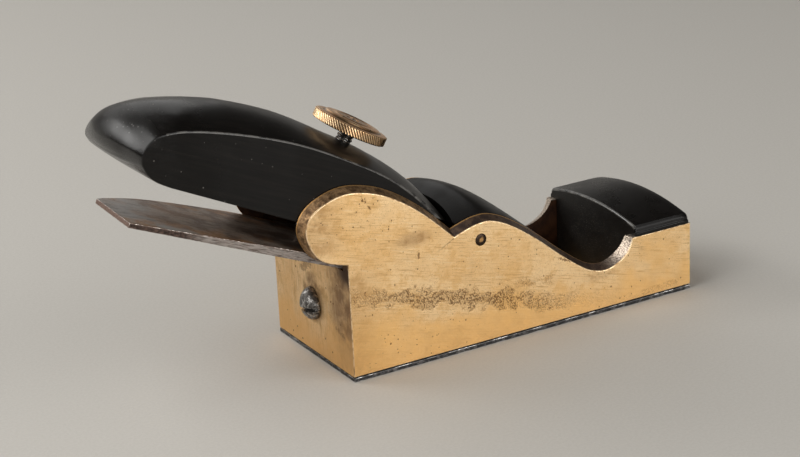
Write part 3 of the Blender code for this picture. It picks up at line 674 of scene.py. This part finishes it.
def pin_brass():
    """The bridge pin's ends: a dark ring round a golden middle."""
    p = Paint("pin_brass", metallic=0.95)
    centre = PIN / MM
    radius = p.plus(p.away(p.x, p.z, (centre.x + 0.25, centre.z)),
                    p.vary(p.noise(1.2, 3.0), -0.25, 0.25))
    base = p.mix(p.fit(radius, 0.40, 0.85), (0.52, 0.30, 0.12), (0.05, 0.032, 0.022))
    return p.finish(base, 0.38, p.bump(p.noise(2.5, 3.0), 0.04))


def brass():
    """Hidden brass, turned and a little brown."""
    p = Paint("turned_brass", metallic=1.0)
    blotch = p.noise(0.7, 4.0, 0.6)
    base = p.mix(p.fit(blotch, 0.35, 0.65), (0.42, 0.26, 0.11), (0.70, 0.46, 0.20))
    return p.finish(base, p.vary(blotch, 0.45, 0.3), p.bump(p.noise(2.0, 3.0), 0.03))


GUNMETAL = [gunmetal_face(), gunmetal_arris(), gunmetal_rim(), gunmetal_inside_shaded()]
FACE, ARRIS, RIM, INSIDE = range(4)
EBONY_EDGE_WEAR_AND_HIGHLIGHT = ebony_edge_wear_and_highlight()
EBONY = plain_ebony("ebony", (0.24, 0.34))
DUSTY_EBONY = plain_ebony("dusty_ebony", (0.42, 0.55), 0.45)
BRIDGE_EBONY = plain_ebony("bridge_ebony", (0.30, 0.42), 0.03, 0.11)
LEVER_EBONY = lever_ebony()
SOLE_STEEL = steel("sole_steel", (0.045, 0.045, 0.048), (0.24, 0.24, 0.25), 0.45, (0.3, 0.5))
SOLE_EDGE = steel("sole_edge", (0.08, 0.08, 0.08), (0.62, 0.62, 0.62), 0.35, (0.2, 0.42))
SCREW_STEEL = steel("screw_steel", (0.10, 0.092, 0.085), (0.50, 0.48, 0.46), 0.7, (0.18, 0.42), 0.12)
IRON = [iron_face(), iron_side(),
        steel("iron_arris", (0.16, 0.12, 0.10), (0.72, 0.66, 0.60), 0.9, (0.22, 0.42))]
WHEEL_BRASS = wheel_brass()
PIN_BRASS = pin_brass()
BRASS = brass()


# ---- body ----

def rim_curves(rise):
    """The ear's and the hump's curves, pushed out by the rise, which fades out toward the ends."""
    ear = spline(EAR_CURVE)
    hump = spline(HUMP_CURVE)
    joined = ear + hump[1:]
    amounts = []
    for index in range(len(joined)):
        fade = min(index / 24.0, 1.0)
        tail = min((len(joined) - 1 - index) / 16.0, 1.0)
        amounts.append(rise * fade * (0.4 + 0.6 * tail))
    moved = offset_outward(joined, amounts)
    return moved[:len(ear)], moved[len(ear) - 1:]


def cheek_outline(rise):
    """A cheek's closed outline, which starts with the rim, and the number of points on the rim."""
    ear, hump = rim_curves(rise)
    corner = (hump[-1][0], TOE_TOP)
    rim = [*ear, *hump[1:-1], corner]
    return rim + [(TOE_X, TOE_TOP), (TOE_X, BODY_LOW.z), (HEEL_X, BODY_LOW.z)], len(rim)


# How deep from the outer face, and how far inside the outline, each ring of a cheek lies
CHEEK_RINGS = [(0.0, 0.22), (0.03, 0.11), (0.10, 0.03), (0.22, 0.0),
               (CHEEK / MM - 0.25, 0.0), (CHEEK / MM - 0.08, 0.03), (CHEEK / MM, 0.15)]


def make_cheek(side):
    sections = []
    for depth, margin in CHEEK_RINGS:
        outline, rim_count = cheek_outline(RIM_RISE * depth * MM / CHEEK)
        y = side * (HALF_WIDTH - depth * MM)
        sections.append([(x, y, z) for x, z in inset(outline, margin * MM)])

    def paint(band, index):
        if band < 3:
            return ARRIS
        return RIM if index < rim_count else FACE
    return skin("cheek", sections, GUNMETAL, paint, (FACE, INSIDE))


def rod(diameter, start, end, steps=48):
    """A plain cylinder between two points, used as a cutter."""
    start = Vector(start)
    length = (Vector(end) - start).length
    profile = [(0.0, length), (diameter / 2, length), (diameter / 2, 0.0), (0.0, 0.0)]
    return revolve("rod", profile, Matrix.Translation(start) @ basis(Vector(end) - start), steps)


def make_body():
    body = make_cheek(-1)
    body.name = "body"
    reach = CHEEK_INNER + CHEEK / 2
    wall_x = HEEL_X + CHEEK
    rear = [(HEEL_X, BODY_LOW.z), (bed_crossing(BODY_LOW.z), BODY_LOW.z),
            (bed_crossing(FLOOR_TOP), FLOOR_TOP), (wall_x, FLOOR_TOP),
            (wall_x, bed_height(wall_x, -2 * GAP)), (HEEL_X, bed_height(HEEL_X, -2 * GAP))]
    front = [(MOUTH_X, BODY_LOW.z), (TOE_X, BODY_LOW.z), (TOE_X, TOE_TOP), (TOE_X - CHEEK, TOE_TOP),
             (TOE_X - CHEEK, FLOOR_TOP), (MOUTH_X + 2.0 * MM, FLOOR_TOP)]
    for tool in (make_cheek(1), prism("rear_tray", rear, -reach, reach, GUNMETAL),
                 prism("front_tray", front, -reach, reach, GUNMETAL)):
        combine(body, tool, "UNION")
    far = HALF_WIDTH + 2 * MM
    heel_z = HEEL_SCREW.z
    toe_z = TOE_SCREW.z
    for hole in (rod(3.6 * MM, (PIN.x, -far, PIN.z), (PIN.x, far, PIN.z)),
                 rod(4.2 * MM, (HEEL_X - 2 * MM, 0, heel_z), (HEEL_X + 8 * MM, 0, heel_z)),
                 rod(7.2 * MM, (TOE_X + 1 * MM, 0, toe_z), (TOE_X - 5 * MM, 0, toe_z))):
        combine(body, hole, "DIFFERENCE")
    dress(body, "body", ["body_casting"])


def make_sole():
    low, high = SOLE_LOW, SOLE_HIGH
    outline = [(low.x, low.z), (high.x, low.z), (high.x, high.z), (low.x, high.z)]
    sole = prism("sole", outline, low.y, high.y, [SOLE_STEEL, SOLE_EDGE])
    rear = bed_crossing(0.0)
    over = high.z + 1 * MM
    slot = [(rear, -1 * MM), (MOUTH_X, -1 * MM), (MOUTH_X, over),
            (rear - over / BED_SLOPE, over), (rear, 0.0)]
    combine(sole, prism("slot", slot, -CHEEK_INNER, CHEEK_INNER), "DIFFERENCE")
    for number in range(1, 7):
        rivet, rivet_half = middle_and_half("sole_rivet_%d" % number)
        radius = rivet_half.x + 0.15 * MM
        combine(sole, rod(2 * radius, (rivet.x, rivet.y, -1 * MM), (rivet.x, rivet.y, 5 * MM), 32),
                "DIFFERENCE")
    round_edges(sole, 0.22 * MM, 2, material=1)
    dress(sole, "body", ["sole_plate"])


# ---- lever, bridge and toe bun ----

def nose_top(x, extra=0.0):
    """Height of the lever's nose, parallel to the bed."""
    return bed_height(x, IRON_THICK + GAP) + 6.5 * MM + extra / BED_COS


def knee(start, extra=0.0):
    """Where the steep line down from the start meets the plane of the nose."""
    height = start[1] + LEVER_STEEP * start[0]
    x = (height - nose_top(0.0, extra)) / (LEVER_STEEP - BED_SLOPE)
    return x, nose_top(x, extra)


def dive(start, bend, move, steps=8):
    """Points from the start down to the bend, without the two ends, and their fading moves."""
    shares = [step / steps for step in range(1, steps)]
    points = [(start[0] + (bend[0] - start[0]) * share, start[1] + (bend[1] - start[1]) * share)
              for share in shares]
    return points, [(move[0] * (1.0 - share) ** 2, move[1] * (1.0 - share) ** 2) for share in shares]


def rows(half, rounding):
    """Places across a width with the inset each one has: rounded at both sides, even between."""
    side = [(-half, rounding), (-half + 0.13 * rounding, 0.5 * rounding),
            (-half + 0.45 * rounding, 0.12 * rounding), (-half + rounding, 0.0)]
    count = 28
    inner = half - rounding
    middle = [(-inner + 2 * inner * step / count, 0.0) for step in range(1, count)]
    return side + middle + [(-y, margin) for y, margin in reversed(side)]


def arched(name, outline, moves, half, rounding, materials, worn, drops=None, wider=None):
    """Loft an (x, z) outline along Y: points move in an arch toward mid width, and drop toward +Y.

    The rounded arrises of the outline's worn points take the second material, which is worn grey and
    painted lighter as a highlight.
    """
    drops = drops or [0.0] * len(outline)
    places = rows(half, rounding)
    sections = []
    for y, margin in places:
        across = y / half
        arch = 1.0 - across ** 2
        section = []
        for (x, z), (move_x, move_z), drop in zip(inset(outline, margin, wider), moves, drops):
            section.append((x + arch * move_x, y, z + arch * move_z - drop * (1.0 + across) / 2))
        sections.append(section)
    last = len(places) - 2

    def paint(band, index):
        return 1 if (band < 3 or band > last - 3) and index in worn else 0
    return skin(name, sections, materials, paint)


def lever_back():
    back = spline(LEVER_BACK)
    moved = offset_outward(back, [crown * MM for crown in spread(LEVER_CROWNS)])
    return back, [(x - side_x, z - side_z) for (x, z), (side_x, side_z) in zip(moved, back)]


def make_lever():
    back, moves = lever_back()
    bend = knee(back[-1])
    steep, steep_moves = dive(back[-1], bend, moves[-1])
    end = LEVER_HIGH.x
    slope = math.tan(math.radians(26.0))
    under = -28.0 * MM
    pad = IRON_THICK + GAP
    nose = [bend, (end - 1.5 * MM, nose_top(end - 1.5 * MM)), (end, nose_top(end) - 2 * MM),
            (end, bed_height(end, pad)), (4 * MM, bed_height(4 * MM, pad)),
            (under, back[0][1] - (under - back[0][0]) * slope)]
    plain = [(0.0, 0.0)] * len(nose)
    drops = [share * LEVER_DROP for share in spread(LEVER_DROPS)]
    outline = back + steep + nose
    # the arris widens into a narrow chamfer toward the notch
    widen_from = len(back) - 22
    widen_over = 16.0
    wider = [1.0 + 1.6 * min(max((index - widen_from) / widen_over, 0.0), 1.0)
             for index in range(len(back))]
    # from here round the top the arris takes the edge material: wear and a painted highlight line
    worn_and_highlight_from = 58
    lever = arched("lever", outline, moves + steep_moves + plain, FIT_HALF, 0.32 * MM,
                   [LEVER_EBONY, EBONY_EDGE_WEAR_AND_HIGHLIGHT], range(worn_and_highlight_from, len(back) + 6),
                   drops + [0.0] * (len(outline) - len(back)), wider + [1.0] * (len(outline) - len(back)))
    distance = (middle_and_half("lever_screw_bush")[0] - SCREW_AT).dot(SCREW_AXIS)
    foot = SCREW_AT + SCREW_AXIS * (distance + 3.6 * MM)
    for diameter, low, high in ((5.4 * MM, SCREW_AT - SCREW_AXIS * 60 * MM, SCREW_AT + SCREW_AXIS * 5 * MM),
                                (9.5 * MM, foot, foot - SCREW_AXIS * 20 * MM)):
        combine(lever, rod(diameter, low, high), "DIFFERENCE")
    dress(lever, "lever", ["lever_cap"], 35.0)


def make_bridge():
    front_x = BRIDGE_HIGH.x
    back, moves = lever_back()
    hump = [point for point in rim_curves(RIM_RISE)[1] if point[0] < front_x]
    start = (back[-1][0], back[-1][1] + GAP / math.cos(math.radians(50.0)))
    bend = knee(start, GAP)
    lift = start[0] + 0.9 * MM
    tip = (lift, start[1] - (lift - start[0]) * LEVER_STEEP)
    top = [(x, z) for x, z in hump if x > lift]
    front = [(front_x, top[-1][1] - 1.5 * MM), (front_x - 1.5 * MM, nose_top(front_x - 1.5 * MM, GAP))]
    steep, steep_moves = dive(tip, bend, moves[-1])
    count = len(top) - 1
    blend_over = 46.0
    top_moves = []
    for index in range(len(top)):
        crown = 2.0 * MM * math.sin(math.pi * min(0.08 + index / count * 0.92, 1.0)) ** 0.6
        blend = max(1.0 - index / blend_over, 0.0) ** 2
        top_moves.append((moves[-1][0] * blend, moves[-1][1] * blend + crown * (1.0 - blend)))
    bridge = arched("bridge_infill", top + front + [bend] + steep[::-1] + [tip],
                    top_moves + [(0.0, 0.0)] * 3 + steep_moves[::-1] + [moves[-1]], FIT_HALF, 0.15 * MM,
                    [BRIDGE_EBONY, EBONY_EDGE_WEAR_AND_HIGHLIGHT], ())
    dress(bridge, "body", ["bridge"], 35.0)


def make_bun():
    """The toe bun: a cap with a crowned top and rounded arrises over a stem between the cheeks."""
    base = TOE_TOP + 0.05 * MM
    side_top = 23.4 * MM
    crown = BUN_HIGH.z - side_top
    steps = 32
    # (inward, up) from the cap's lower edge to where its top begins, with a small step on the way
    side = [(0.0, 0.0), (0.0, 0.85), (0.10, 1.05), (0.38, 1.15), (0.46, 1.30), (0.52, 2.05), (0.66, 2.40),
            (0.95, 2.64)]
    edge_band = (1, 3)

    def section(x, narrow, lower):
        """The cap's outline across the plane, narrower by some and with its top lowered by some."""
        half = BUN_HIGH.y - narrow
        scale = (side_top - lower - base) / (side_top - base)
        edge = [(half - inward * MM, base + up * scale * MM) for inward, up in side]
        arc = []
        top_half = half - 1.2 * MM
        for step in range(steps + 1):
            share = 1.0 - 2.0 * step / steps
            rise = crown * (1.0 - (top_half * share / half) ** 2)
            arc.append((top_half * share, side_top - lower + rise))
        return [(x, y, z) for y, z in edge + arc + [(-y, z) for y, z in reversed(edge)]]
    rear = BUN_LOW.x
    toe = BUN_HIGH.x
    rings = [(rear, 0.50, 0.60), (rear + 0.07 * MM, 0.28, 0.32), (rear + 0.25 * MM, 0.10, 0.10),
             (rear + 0.6 * MM, 0.0, 0.0), (toe - 5.0 * MM, 0.0, 0.0), (toe - 2.5 * MM, 0.0, 0.10),
             (toe - 1.0 * MM, 0.10, 0.25), (toe - 0.35 * MM, 0.35, 0.45), (toe - 0.08 * MM, 0.70, 0.80),
             (toe, 1.1, 1.2)]
    sections = [section(x, narrow * MM, lower * MM) for x, narrow, lower in rings]
    points = len(sections[0])
    flank = len(side)

    # the rear-top arrises take the edge material: wear and a painted highlight line
    def paint(band, index):
        on_step = min(index, points - 2 - index) in edge_band
        on_top = flank - 2 <= min(index, points - 2 - index)
        return 1 if band < 3 and on_top and not on_step else 0
    bun = skin("bun", sections, [EBONY, EBONY_EDGE_WEAR_AND_HIGHLIGHT, DUSTY_EBONY], paint, (2, 0))
    stem_end = TOE_X - CHEEK - GAP
    back_x = rear + 0.02 * MM
    stem = [(back_x, FLOOR_TOP + GAP), (stem_end, FLOOR_TOP + GAP), (stem_end, base + 1.0 * MM),
            (back_x, base + 1.0 * MM)]
    block = prism("stem", stem, -FIT_HALF, FIT_HALF, [EBONY, EBONY_EDGE_WEAR_AND_HIGHLIGHT, DUSTY_EBONY])
    for polygon in block.data.polygons:
        polygon.material_index = 2
    combine(bun, block, "UNION")
    dress(bun, "body", ["toe_bun"], 35.0)


# ---- iron ----

def make_iron():
    """The tapered iron with its rear corner rounded off, its bevel ground and its arrises worn."""
    rear = -150.0 * MM
    side = [(0.0, 0.0), (-IRON_THICK / math.tan(math.radians(30.0)), IRON_THICK), (-100 * MM, IRON_THICK),
            (rear, 1.75 * MM), (rear, 0.45 * MM), (-100 * MM, 0.0)]
    iron = prism("blade_iron", side, -FIT_HALF, FIT_HALF, IRON)
    for polygon in iron.data.polygons:
        polygon.material_index = 0 if abs(polygon.normal.z) > 0.5 else 1
    plan = skin("plan", [[(x * MM, y * MM, z) for x, y in IRON_PLAN] for z in (-3 * MM, 6 * MM)], IRON,
                lambda band, index: 1, (1, 1))
    combine(iron, plan, "INTERSECT")
    round_edges(iron, 0.14 * MM, 2, material=2)
    place = Matrix.Translation(IRON_EDGE) @ Matrix.Rotation(math.atan(BED_SLOPE), 4, "Y")
    iron.data.transform(place)
    dress(iron, "blade", ["iron"])


# ---- thumbscrew ----

KNURLS = 76
KNURL_DEPTH = 0.26 * MM
WHEEL_RADIUS = 10.7 * MM
SCREW_PLACE = Matrix.Translation(SCREW_AT) @ basis(SCREW_AXIS)


def make_wheel():
    bore = 1.9
    top = [(bore, 2.15), (4.6, 2.15), (4.9, 2.22), (5.15, 2.38), (5.4, 2.36), (5.65, 2.15), (6.1, 2.12),
           (7.6, 2.08), (7.85, 2.0), (8.1, 1.6), (8.4, 1.42), (8.9, 1.44), (9.9, 1.40), (10.35, 1.34)]
    side = 9
    band = [(WHEEL_RADIUS, (1.15 - 2.3 * step / side) * MM) for step in range(side + 1)]
    under = [(10.3, -1.32), (9.8, -1.4), (bore, -1.4)]
    slant = math.tan(math.radians(40.0)) / WHEEL_RADIUS

    def knurl(radius, height, angle):
        if radius < WHEEL_RADIUS:
            return radius
        phase = (angle + height * slant) * KNURLS / (2 * math.pi) % 1.0
        ridge = abs(2.0 * phase - 1.0)
        return radius - KNURL_DEPTH * min(1.0, 1.4 * ridge) + 0.02 * MM
    loop = in_metres(top) + band + in_metres(under)
    wheel = revolve("wheel", loop + [loop[0]], SCREW_PLACE, KNURLS * 6, knurl, [WHEEL_BRASS])
    weld(wheel)
    dress(wheel, "wheel", ["thumbscrew_wheel"], 50.0)


def weld(obj):
    """Join the seam of a closed profile, whose first and last rings lie in the same place."""
    bm = bmesh.new()
    bm.from_mesh(obj.data)
    bmesh.ops.remove_doubles(bm, verts=bm.verts, dist=0.001 * MM)
    bmesh.ops.recalc_face_normals(bm, faces=bm.faces)
    bm.to_mesh(obj.data)
    bm.free()


def make_shank():
    """The steel shank with a fine thread, from its foot up to the riveted end in the wheel."""
    foot = min((corner.co - SCREW_AT).dot(SCREW_AXIS)
               for corner in frame["nodes"]["thumbscrew_shank"].data.vertices)
    radius = 2.38 * MM
    pitch = 1.058 * MM
    per_pitch = 6
    thread_depth = 0.42 * MM
    top = -1.4 * MM - GAP
    count = int((top - foot - 2 * MM) / pitch * per_pitch)
    thread = [(radius, top - step * pitch / per_pitch) for step in range(count)]
    profile = [(0.0, 2.1 * MM), (1.2 * MM, 2.05 * MM), (1.5 * MM, 1.9 * MM), (1.5 * MM, top), *thread,
               (1.2 * MM, foot + 0.2 * MM), (0.0, foot)]

    def helix(r, height, angle):
        if r < radius:
            return r
        phase = (height / pitch + angle / (2 * math.pi)) % 1.0
        return r - thread_depth * abs(2.0 * phase - 1.0)
    shank = revolve("shank", profile, SCREW_PLACE, 48, helix, [SCREW_STEEL])
    dress(shank, "screw", ["thumbscrew_shank"], 60.0)


# ---- screws and pin ----

def cut_slot(screw, facing, at, angle, width, length, depth):
    """Cut a slot, turned by the angle, into the head of a screw that faces along X at the place."""
    half = width / 2
    outline = [(-half, -depth), (half, -depth), (half * 1.15, 4 * MM), (-half * 1.15, 4 * MM)]
    cutter = skin("slot", [[(x, y, z) for y, z in outline] for x in (-length / 2, length / 2)])
    across = Matrix(((0, 0, facing, 0), (1, 0, 0, 0), (0, facing, 0, 0), (0, 0, 0, 1)))
    cutter.data.transform(Matrix.Translation(at) @ Matrix.Rotation(math.radians(angle), 4, "X") @ across)
    combine(screw, cutter, "DIFFERENCE")


def make_heel_screw():
    """The round-headed wood screw, with a head that narrows toward its top."""
    low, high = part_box("heel_screw")
    height = (low.z + high.z) / 2
    head = (high.z - low.z) / 2
    dome = HEEL_X - low.x - 0.3 * MM
    steps = 14
    profile = [(head * math.sin(turn), dome * math.cos(turn) + 0.3 * MM)
               for turn in (math.pi / 2 * step / steps for step in range(steps + 1))]
    profile = [(0.0, profile[0][1])] + profile[1:] + [(head - 0.15 * MM, 0.05 * MM), (1.8 * MM, 0.05 * MM),
                                                      (1.8 * MM, -19 * MM), (0.0, -20.3 * MM)]
    place = Matrix.Translation((HEEL_X, 0.0, height)) @ basis((-1, 0, 0))
    screw = revolve("heel_wood_screw", profile, place, 64, None, [SCREW_STEEL])
    for vertex in screw.data.vertices:
        rise = (vertex.co.z - height) / head
        if vertex.co.x < HEEL_X and abs(rise) > 0.01:
            vertex.co.y *= 1.02 - 0.30 * max(rise, 0.0) ** 1.3
            vertex.co.z = height + rise * head * (1.14 if rise > 0.0 else 1.04)
    cut_slot(screw, -1, (HEEL_X - dome, 0.0, height - 1.1 * MM), -9.0, 1.15 * MM, 3 * head, 2.3 * MM)
    round_edges(screw, 0.12 * MM, 2, 50.0)
    dress(screw, "body", ["heel_screw"], 50.0)


def make_toe_screw():
    height = TOE_SCREW.z
    head = TOE_SCREW_HALF.z
    profile = [(0.0, 0.0), (head - 0.1 * MM, 0.0), (head, -0.1 * MM), (head, -0.3 * MM),
               (1.8 * MM, -2.2 * MM), (1.8 * MM, -15 * MM), (0.0, -15 * MM)]
    place = Matrix.Translation((TOE_X, 0.0, height)) @ basis((1, 0, 0))
    screw = revolve("toe_wood_screw", profile, place, 64, None, [SCREW_STEEL])
    cut_slot(screw, 1, (TOE_X, 0.0, height), 28.0, 0.8 * MM, 3 * head, 0.8 * MM)
    dress(screw, "body", ["toe_screw"], 40.0)


def make_pin():
    radius = PIN_HALF.x + 0.1 * MM
    half = HALF_WIDTH
    end = [(0.0, half), (radius * 0.6, half - 0.01 * MM), (radius * 0.9, half - 0.06 * MM),
           (radius, half - 0.2 * MM)]
    profile = end + [(r, -z) for r, z in reversed(end)]
    place = Matrix.Translation((PIN.x, 0.0, PIN.z)) @ basis((0, -1, 0))
    pin = revolve("cross_pin", profile, place, 48, None, [PIN_BRASS])
    dress(pin, "body", ["bridge_pin"], 40.0)


def paint_kept_nodes():
    """Give the CAD nodes that stay as they are a finished material."""
    kept = {"bed_infill": EBONY, "lever_screw_bush": BRASS}
    for number in range(1, 7):
        kept["sole_rivet_%d" % number] = SOLE_STEEL
    for name, material in kept.items():
        obj = frame["nodes"][name]
        obj.data.materials.clear()
        obj.data.materials.append(material)


# ---- floor, light and camera ----

def make_floor():
    bm = bmesh.new()
    bmesh.ops.create_grid(bm, x_segments=1, y_segments=1, size=6.0)
    p = Paint("paper")
    fibre = p.noise(1.2, 4.0, 0.7)
    base = p.mix(p.fit(fibre, 0.35, 0.65), (0.475, 0.455, 0.42), (0.505, 0.485, 0.45))
    floor = new_object("floor", bm, [p.finish(base, 0.75, p.bump(fibre, 0.03))])


def area_light(name, location, size, energy, colour=(1.0, 0.99, 0.97)):
    """A soft light, wide and high by the size, aimed at the plane."""
    light = bpy.data.lights.new(name, "AREA")
    light.shape = "RECTANGLE"
    light.size, light.size_y = size
    light.energy = energy
    light.color = colour
    obj = bpy.data.objects.new(name, light)
    bpy.context.scene.collection.objects.link(obj)
    obj.location = location
    obj.visible_camera = False
    aim = Vector((-0.02, 0.0, 0.03)) - Vector(location)
    obj.rotation_euler = aim.to_track_quat("-Z", "Y").to_euler()


def make_light():
    area_light("left_above", (-0.6, 0.1, 0.9), (0.8, 0.8), 5.8)
    area_light("left_behind", (-0.72, 0.72, 0.48), (0.55, 0.45), 5.0)
    area_light("left", (-1.0, -0.3, 0.6), (0.6, 0.6), 3.4)
    area_light("front_right", (0.6, -1.0, 0.7), (0.8, 0.8), 4.6)
    area_light("front_low", (0.25, -1.25, 0.20), (1.6, 0.35), 8.4)
    area_light("behind", (0.1, 1.2, 0.7), (1.3, 0.8), 2.6)
    area_light("right_above", (0.55, -0.4, 0.96), (0.7, 0.7), 0.8)
    area_light("backdrop", (1.15, 1.65, 0.27), (3.0, 0.5), 1.4, (1.0, 0.95, 0.88))
    world = bpy.data.worlds.new("studio")
    bpy.context.scene.world = world
    world.use_nodes = True
    background = world.node_tree.nodes["Background"]
    background.inputs["Color"].default_value = (1.0, 0.95, 0.88, 1.0)
    background.inputs["Strength"].default_value = 0.045


def make_camera():
    camera = bpy.data.objects.new("camera", bpy.data.cameras.new("camera"))
    bpy.context.scene.collection.objects.link(camera)
    camera.data.sensor_width = 36.0
    camera.data.lens = 96.851
    place = Matrix.Translation((-0.30769, -0.49630, 0.24275))
    look = Vector((0.46016, 0.81706, -0.34737)).to_track_quat("-Z", "Y").to_matrix().to_4x4()
    roll = Matrix.Rotation(math.radians(-2.83), 4, "Z")
    camera.matrix_world = place @ look @ roll
    bpy.context.scene.camera = camera


make_body()
make_sole()
make_lever()
make_bridge()
make_bun()
make_iron()
make_wheel()
make_shank()
make_heel_screw()
make_toe_screw()
make_pin()
paint_kept_nodes()
make_floor()
make_light()
make_camera()
bpy.context.scene.view_settings.view_transform = "Standard"
